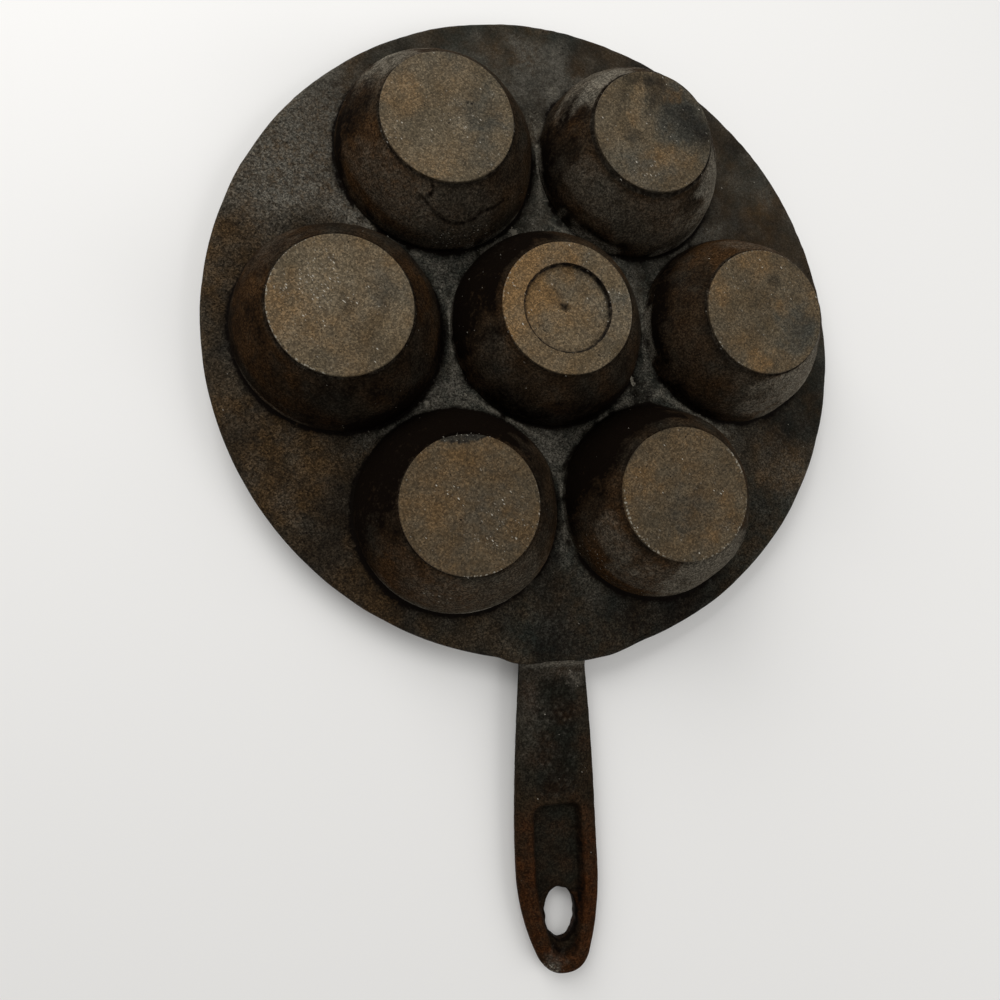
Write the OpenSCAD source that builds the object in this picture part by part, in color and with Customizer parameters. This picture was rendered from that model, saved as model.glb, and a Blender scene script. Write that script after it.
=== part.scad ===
// A seven-cup pan for round filled pancakes: a flat plate, seven round-bottomed cups under it and a long handle.
// The pan stands on its cups as it does on a stove. The origin is on the resting plane, under the middle cup,
// and the handle runs along -Y. The real pan is one casting, so the pieces here meet face to face.

/* [Cups] */
// Radius of a cup's mouth, at the cooking face
mouth_r = 28.5; // [26:0.5:30]
// Outer radius of a cup where it leaves the underside of the plate
bowl_r = 33; // [32:0.5:36]
// How far the cups reach below the underside of the plate
bowl_drop = 23; // [19:0.5:26]
// Thickness of the iron in the bottom of a cup
floor_t = 4.5; // [3.5:0.5:6]
// Radius of the flat foot under a cup
foot_r = 21; // [17:0.5:23]
// Height of the small step round the foot
foot_step = 1.2; // [0.6:0.1:2]
// Width of the ledge between the foot and the round wall
foot_ledge = 0.4; // [0.2:0.1:1]
// Rounding of the mouth's lip
lip_r = 1.5; // [0.8:0.1:2]
// Gap between neighbouring cups, at the underside of the plate
cup_gap = 2.5; // [1.5:0.5:8]
// Number of cups round the middle one
ring_cups = 6; // [5:1:6]
// Turn of the ring of cups, in degrees, against the handle
ring_turn = -2.5; // [-6:0.5:6]

/* [Middle foot] */
// Radius of the round recess in the middle foot
recess_r = 14; // [9:0.5:16]
// Depth of that recess
recess_depth = 1.6; // [0.8:0.1:2.2]
// Radius of the centre mark in the recess
mark_r = 1.4; // [0.8:0.1:2.5]
// Radius at the bottom of the centre mark
mark_floor_r = 0.7; // [0.3:0.1:0.7]
// Depth of the centre mark
mark_depth = 0.7; // [0.4:0.1:0.9]

/* [Plate] */
// Thickness of the plate
plate_t = 4.5; // [4:0.5:7]
// Width of the plate outside the ring of cups
edge_land = 8.5; // [6:0.5:20]
// Rounding of the plate's lower edge
edge_r = 1.8; // [1:0.2:3]
// Height of the rim above the cooking face
rim_h = 5; // [4:0.5:10]
// Width of the rim
rim_w = 4; // [3:0.5:6]
// Rounding between the cooking face and the rim
rim_fillet = 2; // [1:0.5:3]
// How far the boss behind the handle stands out of the plate's edge
boss_out = 1.5; // [1:0.5:4]
// Width of that boss
boss_w = 52; // [40:1:70]
// How far the top of the boss lies below the top of the rim
boss_drop = 1; // [0.5:0.1:2]

/* [Handle] */
// Length of the handle, from the boss to the tip
handle_len = 100; // [90:0.5:160]
// Width of the handle at the boss
root_w = 22.4; // [20:0.2:27]
// Width of the handle at its widest
grip_w = 28; // [27:0.2:34]
// Distance from the tip back to the widest place
tip_len = 34; // [30:0.5:60]
// Radius of the tip, seen from above
tip_r = 9.4; // [8:0.2:13]
// How far the tip leans towards -X: the lean starts where the recess does
tip_lean = 2.6; // [0:0.1:4]
// Thickness of the handle
handle_t = 7.5; // [6:0.5:9]
// Rise of the handle, in degrees
handle_rise = 2; // [0:0.2:8]
// Length of the hollow under the handle that sweeps down to the boss
root_sweep = 4; // [2:0.5:8]
// Rounding of the tip, seen from the side
tip_round = 4; // [2:0.5:6]
// Squareness of the handle's section: 2 is an oval, more is squarer
squareness = 2.6; // [2.4:0.2:4]

/* [Handle recess] */
// Depth of the long recess under the handle
slot_depth = 3; // [1:0.2:4]
// Width of the rails beside the recess
rail_w = 6; // [5:0.2:8]
// Distance from the tip to the near end of the recess
slot_end = 6.5; // [6:0.5:9]
// Length of the recess
slot_len = 48; // [36:0.5:54]
// Corner radius at the far end of the recess
slot_corner = 3; // [1:0.5:4]
// Length of the recess's round end, towards the tip
slot_round = 6; // [4:0.5:9]
// Depth of the shallow stippled panel between the recess and the boss
panel_depth = 0.7; // [0.4:0.1:1.2]
// Width of that panel
panel_w = 13; // [8:0.5:15]
// Corner radius of that panel
panel_corner = 3; // [1:0.5:4]
// Bar left standing between the panel and the recess
panel_bar = 3; // [2:0.5:6]
// Bar left standing between the panel and the boss
panel_start = 4.5; // [4:0.5:10]

/* [Hanging hole] */
// Width of the egg-shaped hole
hole_w = 10.8; // [8:0.2:12]
// Length of the hole
hole_len = 17.5; // [14:0.5:19]
// Distance from the hole's near end to its widest place
hole_near = 8; // [6:0.5:9]
// Distance from the tip of the handle to the hole
hole_end = 10; // [10:0.5:14]

/* [Hidden] */
$fn = 120;
MIDDLE = "cup_middle";
RING = [for (i = [1:ring_cups]) str("cup_", i)];

// a cut reaches this far past the face it leaves by
past = 1;
// sides of the small roundings
small_fn = 48;
iron = "#3b352f";
foot_iron = "#6f6353";
handle_iron = "#54402f";

// heights, from the resting plane up
under_z = bowl_drop;
cook_z = under_z + plate_t;
rim_top = cook_z + rim_h;

// the plate follows the cups
ring_pitch = 2 * bowl_r + cup_gap;
ring_r = max(ring_pitch, ring_pitch / (2 * sin(180 / ring_cups)));
plate_r = ring_r + bowl_r + edge_land;
boss_r = plate_r + boss_out;
boss_half = asin(boss_w / 2 / boss_r);
boss_top = rim_top - boss_drop;

// the hollow is a ball that cuts the cooking face at mouth_r and leaves floor_t of iron
hollow_depth = cook_z - floor_t;
hollow_r = (mouth_r * mouth_r + hollow_depth * hollow_depth) / (2 * hollow_depth);
hollow_z = floor_t + hollow_r;

// the outer wall is a ball through the bowl's edge and the outer edge of the foot's ledge
ledge_r = foot_r + foot_ledge;
wall_z = (bowl_r * bowl_r - ledge_r * ledge_r + under_z * under_z - foot_step * foot_step)
    / (2 * (under_z - foot_step));
wall_r = norm([ledge_r, wall_z - foot_step]);

// the lip is a ring that touches the cooking face and the hollow
lip_z = cook_z - lip_r;
lip_ring_r = sqrt(pow(hollow_r + lip_r, 2) - pow(lip_z - hollow_z, 2));
lip_touch_z = hollow_z + (lip_z - hollow_z) * hollow_r / (hollow_r + lip_r);

// the handle, by distance from the middle of the pan
tip_d = boss_r + handle_len;
wide_d = tip_d - tip_len;
tip_c = tip_d - tip_r;
root_run = wide_d - boss_r;
root_side_r = side_radius(root_run, grip_w / 2, root_w / 2);
tip_run = tip_c - wide_d;
tip_side_r = (tip_run * tip_run + grip_w * grip_w / 4 - tip_r * tip_r) / (grip_w - 2 * tip_r);
tip_touch_d = tip_c + tip_run * tip_r / (tip_side_r - tip_r);
root_low_z = boss_top - handle_t;

slot_from = tip_d - slot_end - slot_len;
slot_to = tip_d - slot_end;
panel_from = boss_r + panel_start;
panel_to = slot_from - panel_bar;
hole_d = tip_d - hole_end - hole_len + hole_near;

// the radius of a side that swells from half-width b to half-width a over a length
function side_radius(run, a, b) = (run * run + pow(a - b, 2)) / (2 * (a - b));

// half the handle's width at a distance from the middle of the pan
function half_w(d) =
    d <= wide_d ? grip_w / 2 - root_side_r + sqrt(pow(root_side_r, 2) - pow(wide_d - d, 2))
    : d <= tip_touch_d ? grip_w / 2 - tip_side_r + sqrt(pow(tip_side_r, 2) - pow(d - wide_d, 2))
    : sqrt(max(0, tip_r * tip_r - pow(d - tip_c, 2)));

// how far the middle line of the handle lies off the Y axis
function lean(d) = tip_lean * pow(max(0, d - slot_from) / (tip_d - slot_from), 2);

// the middle of the handle's thickness
function mid_z(d) = root_low_z + handle_t / 2 + (d - boss_r) * tan(handle_rise);

// half its thickness, less at the tip
function half_t(d) =
    let(u = max(0, (d - tip_d + tip_round) / tip_round))
    handle_t / 2 * sqrt(max(0, 1 - u * u));

// how far the underside sweeps down towards the plate's underside at the boss
function sweep_z(d) =
    let(u = max(0, min(1, (d - boss_r) / root_sweep)))
    (root_low_z - under_z) * (1 - sqrt(1 - pow(1 - u, 2)));

// one section of the handle: a squarish oval
section_points = 28;
function squarish(v) = sign(v) * pow(abs(v), 2 / squareness);
function section(d) = [
    for (k = [0:section_points - 1])
        let(a = 360 * k / section_points, low = sin(a) < 0 ? half_t(d) + sweep_z(d) : half_t(d))
        [d, half_w(d) * squarish(cos(a)) - lean(d), mid_z(d) + low * squarish(sin(a))]
];

// the places of the sections: close together in the root's sweep and round the tip
root_steps = 4;
side_steps = 16;
tip_steps = 9;
// the last section stands at this angle round the tip
tip_last = 86;
tip_turn = asin((tip_touch_d - tip_c) / tip_r);
// the first section lies this far inside the boss, which then trims it
root_bury = 4;
stations = concat(
    [boss_r - root_bury],
    [for (i = [0:root_steps - 1]) boss_r + root_sweep * i / root_steps],
    [for (i = [0:side_steps - 1]) let(from = boss_r + root_sweep) from + (tip_touch_d - from) * i / side_steps],
    [for (i = [0:tip_steps]) tip_c + tip_r * sin(tip_turn + (tip_last - tip_turn) * i / tip_steps)]
);

module skin(rings) {
    n = len(rings[0]);
    last = len(rings) - 1;
    polyhedron(
        points = [for (ring = rings) each ring],
        faces = concat(
            [[for (k = [0:n - 1]) k]],
            [for (i = [0:last - 1], k = [0:n - 1]) [i * n + k, (i + 1) * n + k, (i + 1) * n + (k + 1) % n]],
            [for (i = [0:last - 1], k = [0:n - 1]) [i * n + k, (i + 1) * n + (k + 1) % n, i * n + (k + 1) % n]],
            [[for (k = [n - 1:-1:0]) last * n + k]]
        )
    );
}

// everything that a cup's hollow takes out of the iron, with the rounding of its lip
module hollow() {
    translate([0, 0, hollow_z]) sphere(r = hollow_r);
    rotate_extrude() difference() {
        translate([0, lip_touch_z]) square([lip_ring_r, cook_z + past - lip_touch_z]);
        translate([lip_ring_r, lip_z]) circle(r = lip_r, $fn = small_fn);
    }
}

module at_cup(i) {
    if (i == 0) children();
    else rotate([0, 0, ring_turn + 360 * (i - 1) / ring_cups]) translate([ring_r, 0, 0]) children();
}

// the outside of a cup, from its foot up to the underside of the plate
module bowl() {
    cylinder(r = foot_r, h = foot_step + past);
    intersection() {
        translate([0, 0, wall_z]) sphere(r = wall_r);
        translate([0, 0, foot_step]) cylinder(r = bowl_r + past, h = under_z - foot_step);
    }
}

module cup(i) {
    color(foot_iron) at_cup(i) difference() {
        bowl();
        hollow();
        if (i == 0) middle_recess();
    }
}

module middle_recess() {
    translate([0, 0, -past]) cylinder(r = recess_r, h = recess_depth + past);
    cylinder(r1 = mark_r, r2 = mark_floor_r, h = recess_depth + mark_depth);
}

// half of the plate's section, with the rim and the rounded lower edge
module plate_section() {
    rim_round = rim_w / 2;
    translate([0, under_z]) square([plate_r - edge_r, plate_t]);
    translate([plate_r - edge_r, under_z + edge_r]) circle(r = edge_r, $fn = small_fn);
    translate([plate_r - rim_w, under_z + edge_r]) square([rim_w, rim_top - rim_round - under_z - edge_r]);
    translate([plate_r - rim_round, rim_top - rim_round]) circle(r = rim_round, $fn = small_fn);
    translate([plate_r - rim_w - rim_fillet, cook_z - past]) difference() {
        square([rim_fillet + past, rim_fillet + past]);
        translate([0, rim_fillet + past]) circle(r = rim_fillet, $fn = small_fn);
    }
}

// the boss stands on the rim's middle and shows as a low swelling behind the handle
module boss() {
    from_r = plate_r - rim_w / 2;
    rotate([0, 0, -90 - boss_half]) rotate_extrude(angle = 2 * boss_half)
        translate([from_r, under_z]) square([boss_r - from_r, boss_top - under_z]);
}

module griddle_plate() {
    color(iron) difference() {
        union() {
            rotate_extrude() plate_section();
            boss();
        }
        for (i = [0:ring_cups]) at_cup(i) hollow();
    }
}

// points on an arc, from one angle to another, about as far apart as small_fn sides give
function arc(middle, r, from, to) =
    let(steps = ceil(abs(to - from) * small_fn / 360))
    [for (i = [0:steps]) let(a = from + (to - from) * i / steps) middle + r * [cos(a), sin(a)]];

// the egg-shaped hole: two half ovals that meet at its widest place and follow the handle's lean
egg_points = 48;
module egg() {
    polygon([
        for (k = [0:egg_points - 1])
            let(a = 360 * k / egg_points, reach = cos(a) > 0 ? hole_len - hole_near : hole_near)
            let(d = hole_d + reach * cos(a))
            [d, hole_w / 2 * sin(a) - lean(d)]
    ]);
}

// the recess keeps rail_w of iron on both sides, has two round corners, and ends in a round towards the tip
slot_points = 8;
slot_corner_d = slot_from + slot_corner;
slot_round_d = slot_to - slot_round;
function slot_half(d) = half_w(d) - rail_w;
module slot() {
    side = concat(
        arc([slot_corner_d, slot_half(slot_corner_d) - slot_corner], slot_corner, 180, 90),
        [for (i = [1:slot_points]) let(d = slot_corner_d + (slot_round_d - slot_corner_d) * i / slot_points)
            [d, slot_half(d)]],
        [for (i = [1:slot_points - 1]) let(a = 90 * i / slot_points)
            [slot_round_d + slot_round * sin(a), slot_half(slot_round_d) * cos(a)]]
    );
    other_side = [for (i = [len(side) - 1:-1:0]) [side[i][0], -side[i][1]]];
    polygon([for (p = concat(side, [[slot_to, 0]], other_side)) [p[0], p[1] - lean(p[0])]]);
}

module panel() {
    side = panel_w / 2 - panel_corner;
    near = panel_from + panel_corner;
    far = panel_to - panel_corner;
    polygon(concat(
        arc([far, side], panel_corner, 0, 90),
        arc([near, side], panel_corner, 90, 180),
        arc([near, -side], panel_corner, 180, 270),
        arc([far, -side], panel_corner, 270, 360)
    ));
}

// cuts a flat outline into the handle's sloping underside
module under_cut(depth) {
    translate([boss_r, 0, root_low_z]) rotate([0, -handle_rise, 0]) translate([-boss_r, 0, -past])
        linear_extrude(height = depth + past) children();
}

module handle() {
    color(handle_iron) rotate([0, 0, -90]) difference() {
        skin([for (d = stations) section(d)]);
        cylinder(r = boss_r, h = rim_top + past);
        under_cut(slot_depth) slot();
        under_cut(panel_depth) panel();
        linear_extrude(height = tip_d) egg();
    }
}

griddle_plate();
cup(0);
for (i = [1:ring_cups]) cup(i);
handle();
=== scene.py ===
"""The looks of a seven-cup cast iron pan, seen from below as it lies upside down on a white table.

Lengths are millimetres until a mesh is written. The pan stands on its cups' feet at z = 0, its handle runs
along -Y, and each region of the casting is one closed piece that stands for the solid of the same name.
"""

import math

import bmesh
import bpy
import numpy as np
from mathutils import Euler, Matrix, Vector
from mathutils.geometry import delaunay_2d_cdt


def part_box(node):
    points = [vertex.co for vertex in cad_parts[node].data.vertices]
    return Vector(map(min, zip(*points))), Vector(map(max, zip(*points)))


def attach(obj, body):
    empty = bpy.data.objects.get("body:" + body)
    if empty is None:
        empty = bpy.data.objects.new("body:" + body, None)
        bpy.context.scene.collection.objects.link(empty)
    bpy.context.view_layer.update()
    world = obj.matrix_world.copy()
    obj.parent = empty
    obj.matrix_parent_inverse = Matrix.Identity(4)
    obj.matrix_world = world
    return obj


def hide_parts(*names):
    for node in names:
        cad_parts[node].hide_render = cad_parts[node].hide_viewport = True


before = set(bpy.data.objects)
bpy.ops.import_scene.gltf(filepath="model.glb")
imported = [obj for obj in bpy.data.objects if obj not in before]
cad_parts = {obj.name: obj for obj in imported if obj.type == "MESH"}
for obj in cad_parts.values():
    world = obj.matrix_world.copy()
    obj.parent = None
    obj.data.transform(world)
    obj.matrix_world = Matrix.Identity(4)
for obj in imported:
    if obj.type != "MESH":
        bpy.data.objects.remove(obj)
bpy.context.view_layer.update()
MM = 0.001
BODY = "root"
CUPS = ["cup_middle"] + ["cup_%d" % i for i in range(1, 7)]


def node_box(name):
    """The lowest and highest corner of a solid, in tenths of a millimetre."""
    return [np.round(np.array(corner) / MM, 1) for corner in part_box(name)]


# Sizes read from the solids
CUP_LOW, CUP_HIGH = node_box("cup_middle")
PLATE_LOW, PLATE_HIGH = node_box("griddle_plate")
TIP_D = -node_box("handle")[0][1]
BOWL_R = CUP_HIGH[0]
UNDER_Z = CUP_HIGH[2]
PLATE_R = PLATE_HIGH[0]
RIM_TOP = PLATE_HIGH[2]
BOSS_R = -PLATE_LOW[1]
CENTRES = {name: np.mean(np.array(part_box(name)) / MM, axis=0)[:2] for name in CUPS}

# Sizes that the boxes don't show
MOUTH_R, FLOOR_T, LIP_R = 28.5, 4.5, 1.5
FOOT_R, FOOT_STEP, FOOT_LEDGE, FOOT_EDGE = 21.0, 1.2, 0.4, 0.3
RECESS_R, RECESS_DEPTH, MARK_R, MARK_DEPTH = 14.0, 1.6, 1.4, 0.7
PLATE_T, EDGE_R, RIM_W, RIM_FILLET, BOSS_DROP = 4.5, 1.8, 4.0, 2.0, 1.0
BASE_FILLET = 1.0
ROOT_W, GRIP_W, TIP_LEN, TIP_R, TIP_LEAN, HANDLE_T, TIP_ROUND = 22.4, 28.0, 34.0, 9.4, 2.6, 7.5, 4.0
HANDLE_RISE, ROOT_SWEEP, SQUARENESS = math.radians(2), 4.0, 2.6
SLOT_DEPTH, RAIL_W, SLOT_END, SLOT_LEN, SLOT_CORNER, SLOT_ROUND = 3.0, 6.0, 6.5, 48.0, 3.0, 6.0
PANEL_DEPTH, PANEL_W, PANEL_CORNER, PANEL_BAR, PANEL_START = 0.7, 13.0, 3.0, 3.0, 4.5
HOLE_W, HOLE_LEN, HOLE_NEAR, HOLE_END = 10.8, 17.5, 8.0, 10.0

# Places that follow from them
COOK_Z = UNDER_Z + PLATE_T
HOLLOW_DEPTH = COOK_Z - FLOOR_T
HOLLOW_R = (MOUTH_R ** 2 + HOLLOW_DEPTH ** 2) / (2 * HOLLOW_DEPTH)
HOLLOW_Z = FLOOR_T + HOLLOW_R
LEDGE_R = FOOT_R + FOOT_LEDGE
WALL_Z = (BOWL_R ** 2 - LEDGE_R ** 2 + UNDER_Z ** 2 - FOOT_STEP ** 2) / (2 * (UNDER_Z - FOOT_STEP))
WALL_R = math.hypot(LEDGE_R, WALL_Z - FOOT_STEP)
LIP_Z = COOK_Z - LIP_R
LIP_RING_R = math.sqrt((HOLLOW_R + LIP_R) ** 2 - (LIP_Z - HOLLOW_Z) ** 2)
BOSS_TOP = RIM_TOP - BOSS_DROP
ROOT_LOW_Z = BOSS_TOP - HANDLE_T
WIDE_D = TIP_D - TIP_LEN
TIP_C = TIP_D - TIP_R
SLOT_FROM, SLOT_TO = TIP_D - SLOT_END - SLOT_LEN, TIP_D - SLOT_END
PANEL_FROM, PANEL_TO = BOSS_R + PANEL_START, TIP_D - SLOT_END - SLOT_LEN - PANEL_BAR
HOLE_D = TIP_D - HOLE_END - HOLE_LEN + HOLE_NEAR


# Small helpers for numbers

def smooth(value, low, high):
    """0 below low, 1 above high and an easy curve between them."""
    t = np.clip((value - low) / (high - low), 0, 1)
    return t * t * (3 - 2 * t)


def waves(points, length, seed, count=28):
    """A smooth random field of unit spread, whose features are about as long as length."""
    rng = np.random.default_rng(seed)
    ways = rng.normal(size=(count, points.shape[1]))
    ways *= (rng.uniform(0.6, 1.4, count) * 2 * math.pi / length / np.linalg.norm(ways, axis=1))[:, None]
    turns = rng.uniform(0, 2 * math.pi, count)
    return np.sin(points @ ways.T + turns).sum(axis=1) / math.sqrt(count / 2)


def blob(points, centre, radius, seed, rough=0.35):
    """A soft patch round a place, with a ragged edge."""
    away = np.linalg.norm(points[:, :len(centre)] - np.array(centre), axis=1)
    ragged = away * (1 + rough * 0.5 * waves(points, radius * 0.8, seed))
    return 1 - smooth(ragged, radius * 0.35, radius)


def streak(points, start, end, width, seed):
    """A soft stroke from one place to another, with a ragged edge."""
    start, end = np.array(start), np.array(end)
    side = end - start
    t = np.clip(((points[:, :2] - start) @ side) / (side @ side), 0, 1)
    away = np.linalg.norm(points[:, :2] - start - t[:, None] * side, axis=1)
    return 1 - smooth(away * (1 + 0.2 * waves(points, width * 1.5, seed)), width * 0.3, width)


def arc(centre, radius, start, end, steps):
    """Points (r, z) on an arc, from one angle in degrees to another."""
    angles = np.radians(np.linspace(start, end, steps + 1))
    return [(centre[0] + radius * math.cos(a), centre[1] + radius * math.sin(a)) for a in angles]


def line(start, end, steps):
    return [tuple(np.array(start) + (np.array(end) - np.array(start)) * i / steps) for i in range(steps + 1)]


def ball_at(z, radius, centre_z):
    """How far a ball reaches from its axis at a height."""
    return math.sqrt(radius ** 2 - (z - centre_z) ** 2)


def outline_distance(points, outline):
    """Distance from points to a closed outline in the plane, positive inside it."""
    best = np.full(len(points), 1e9)
    inside = np.zeros(len(points), bool)
    for a, b in zip(outline, np.roll(outline, -1, axis=0)):
        side = b - a
        t = np.clip(((points - a) @ side) / max(side @ side, 1e-12), 0, 1)
        best = np.minimum(best, np.linalg.norm(points - a - t[:, None] * side, axis=1))
        crosses = (a[1] > points[:, 1]) != (b[1] > points[:, 1])
        rise = np.where(crosses, side[1], 1.0)
        inside ^= crosses & (points[:, 0] < side[0] * (points[:, 1] - a[1]) / rise + a[0])
    return np.where(inside, best, -best)


class Skin:
    """A closed mesh made of rings of points and flat patches. Each face carries the number of its material."""

    def __init__(self):
        self.points = []
        self.faces = []
        self.slots = []

    def add(self, points):
        first = len(self.points)
        self.points.extend(tuple(p) for p in points)
        return list(range(first, len(self.points)))

    def face(self, corners, slot):
        self.faces.append(corners)
        self.slots.append(slot)

    def bridge(self, ring, other, slot=0):
        count = len(ring)
        for k in range(count):
            self.face((ring[k], ring[(k + 1) % count], other[(k + 1) % count], other[k]), slot)

    def cap(self, ring, middle, slot=0):
        apex = self.add([middle])[0]
        for k in range(len(ring)):
            self.face((ring[k], ring[(k + 1) % len(ring)], apex), slot)

    def patch(self, outer, holes, loose, lift, slot=0):
        """Fills the flat space between outer and holes with triangles. loose are free points (x, y) in it,
        and lift gives their heights."""
        rings = [outer] + holes
        known = [i for ring in rings for i in ring]
        flat = [Vector(self.points[i][:2]) for i in known] + [Vector(p) for p in loose]
        edges = []
        start = 0
        for ring in rings:
            edges += [(start + k, start + (k + 1) % len(ring)) for k in range(len(ring))]
            start += len(ring)
        out_points, _, triangles, origins, _, _ = delaunay_2d_cdt(flat, edges, [], 1, 1e-7, True)
        middles = np.array([np.mean([out_points[i][:] for i in t], axis=0) for t in triangles])
        keep = np.ones(len(triangles), bool)
        for hole in holes:
            keep &= outline_distance(middles, np.array([self.points[i][:2] for i in hole])) < 0
        added = self.add(np.column_stack([loose, lift]))
        index = [(known + added)[origin[0]] for origin in origins]
        for triangle, kept in zip(triangles, keep):
            if kept:
                self.face(tuple(index[i] for i in triangle), slot)


def write_piece(name, skin, points, materials, masks):
    """Makes the object for a node: its mesh in metres, its materials and its masks."""
    mesh = bpy.data.meshes.new(name + "_casting")
    mesh.from_pydata((points * MM).tolist(), [], skin.faces)
    mesh.update()
    for material in materials:
        mesh.materials.append(material)
    mesh.polygons.foreach_set("material_index", skin.slots)
    work = bmesh.new()
    work.from_mesh(mesh)
    bmesh.ops.recalc_face_normals(work, faces=work.faces)
    work.to_mesh(mesh)
    work.free()
    # The hidden faces where a cup meets the plate are flat, so that the hollow's shading runs on across the joint
    middles = np.array([face.center for face in mesh.polygons]) / MM
    in_joint = (np.abs(middles[:, 2] - UNDER_Z) < 0.05) & (cup_gaps(middles[:, :2])[0] < -0.6)
    mesh.polygons.foreach_set("use_smooth", (~in_joint).tolist())
    for mask, values in masks.items():
        layer = mesh.attributes.new(mask, "FLOAT", "POINT")
        layer.data.foreach_set("value", np.clip(values, 0, 1.5).astype(np.float32))
    piece = bpy.data.objects.new(name + "_casting", mesh)
    bpy.context.scene.collection.objects.link(piece)
    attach(piece, BODY)
    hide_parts(name)
    return piece


# The cups

CUP_SIDES = 240
# Degrees of the hollow's arc between the joint and the ring that keeps its shading even
JOINT_STEP = 0.1
# Each foot was ground by hand, so its radius differs a little
FOOT_RADII = {"cup_middle": 21.0, "cup_1": 20.9, "cup_2": 20.6, "cup_3": 20.4, "cup_4": 20.9, "cup_5": 21.3,
              "cup_6": 21.0}
# Where the feet lie off the cups' middles
FOOT_SHIFTS = {"cup_middle": (-0.35, 0), "cup_1": (-0.35, -0.2), "cup_2": (-0.6, -0.5), "cup_4": (-0.6, -0.2),
               "cup_5": (-0.5, 0)}
# The ground-off chip on the edge of one foot: the way it lies, how far in it reaches, and how hollow its edge is
CHIP_CUP, CHIP_WAY, CHIP_AT, CHIP_HOLLOW, CHIP_SLOPE = "cup_6", math.radians(84), 18.2, 0.026, 0.38


def cup_profile(recess):
    """The outer and the inner outline of a cup, as (r, z) from the middle of the foot round to the hollow."""
    outer = []
    if recess:
        outer += line((MARK_R / 2, RECESS_DEPTH + MARK_DEPTH), (MARK_R, RECESS_DEPTH), 3)
        outer += line((MARK_R + 0.4, RECESS_DEPTH), (RECESS_R - 0.2, RECESS_DEPTH), 16)
        outer += line((RECESS_R, RECESS_DEPTH - 0.2), (RECESS_R, 0.15), 3)
        outer += [(RECESS_R + 0.15, 0), (RECESS_R + 0.35, 0), (RECESS_R + 0.5, 0)]
        outer += line((RECESS_R + 1, 0), (FOOT_R - 1, 0), 7)
        outer += [(FOOT_R - 0.65, 0), (FOOT_R - FOOT_EDGE, 0)]
    else:
        outer += line((0.7, 0), (FOOT_R - 1, 0), 25)
        outer += [(FOOT_R - 0.65, 0), (FOOT_R - FOOT_EDGE, 0)]
    outer += arc((FOOT_R - FOOT_EDGE, FOOT_EDGE), FOOT_EDGE, -80, 0, 4)
    outer += line((FOOT_R, FOOT_STEP * 0.5), (FOOT_R, FOOT_STEP), 2)
    start = math.degrees(math.atan2(FOOT_STEP - WALL_Z, LEDGE_R))
    end = math.degrees(math.atan2(UNDER_Z - WALL_Z, BOWL_R))
    outer += arc((0, WALL_Z), WALL_R, start, end, 44)
    # A second ring close under the joint keeps the hollow's shading even up to the plate
    brim = ball_at(UNDER_Z, HOLLOW_R, HOLLOW_Z)
    start = math.degrees(math.atan2(UNDER_Z - HOLLOW_Z, brim))
    inner = [(brim, UNDER_Z)] + arc((0, HOLLOW_Z), HOLLOW_R, start - JOINT_STEP, -88.8, 34)
    return outer, inner


def make_cup(name, materials):
    skin = Skin()
    centre = CENTRES[name]
    outer, inner = cup_profile(name == "cup_middle")
    angles = 2 * math.pi * np.arange(CUP_SIDES) / CUP_SIDES
    rings = []
    for r, z in outer + inner:
        rings.append(skin.add(np.column_stack([r * np.cos(angles), r * np.sin(angles), np.full(CUP_SIDES, z)])))
    for k in range(len(rings) - 1):
        on_foot = outer[k + 1][0] < LEDGE_R - 0.1 if k < len(outer) - 1 else False
        skin.bridge(rings[k], rings[k + 1], 1 if on_foot else 0 if k < len(outer) - 1 else 2)
    foot_z = RECESS_DEPTH + MARK_DEPTH if name == "cup_middle" else 0
    skin.cap(rings[0], (0, 0, foot_z), 1)
    skin.cap(rings[-1], (0, 0, FLOOR_T), 2)

    points = np.array(skin.points)
    first_inner = len(outer) * CUP_SIDES
    outside = np.arange(len(points)) < first_inner
    outside[-2] = True
    seed = 10 * CUPS.index(name)
    height = points[:, 2]
    # The foot's own radius fades out up the wall, and the wall isn't quite round
    fade = (1 - smooth(height, 2, 14)) * outside
    scale = 1 + fade * (FOOT_RADII[name] / FOOT_R - 1)
    middle_of_wall = smooth(height, FOOT_STEP, 8) * (1 - smooth(height, 15, UNDER_Z)) * outside
    away = np.maximum(np.hypot(points[:, 0], points[:, 1]), 1e-6)
    scale += 0.3 * middle_of_wall * waves(points, 32, seed + 1) / away
    points[:, :2] *= scale[:, None]
    chip = np.zeros(len(points))
    if name == CHIP_CUP:
        inward, beside = math.sin(CHIP_WAY), math.cos(CHIP_WAY)
        along = points[:, 0] * inward - points[:, 1] * beside
        chip = points[:, 0] * beside + points[:, 1] * inward - CHIP_AT - CHIP_HOLLOW * along ** 2
        chip += 0.12 * waves(points[:, :2], 5, seed + 2)
        chip = np.where(outside & (height < FOOT_STEP), np.maximum(0, chip), 0)
        points[:, 2] += CHIP_SLOPE * chip
    rough = 0.05 * waves(points, 4.5, seed + 3) * outside * smooth(height, FOOT_STEP, FOOT_STEP + 1)
    rough *= 1 - smooth(height, UNDER_Z - 2, UNDER_Z)
    points[:, :2] *= (1 + rough / away)[:, None]
    masks = cup_masks(name, points, outside, seed)
    ground_off = smooth(chip, 0, 0.3)
    masks["grey"] += 1.6 * ground_off
    masks["rust"] -= 2 * ground_off
    masks["wear_and_sheen"] -= 0.25 * ground_off
    masks["dim"] += 0.1 * ground_off
    masks["glint"] += 0.35 * ground_off
    masks["soot_and_shade"] += 0.9 * smooth(chip, 0, 0.15) * (1 - smooth(chip, 0.3, 0.7))
    points[:, :2] += centre + fade[:, None] * FOOT_SHIFTS.get(name, (0, 0))
    return write_piece(name, skin, points, materials, masks)


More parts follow.
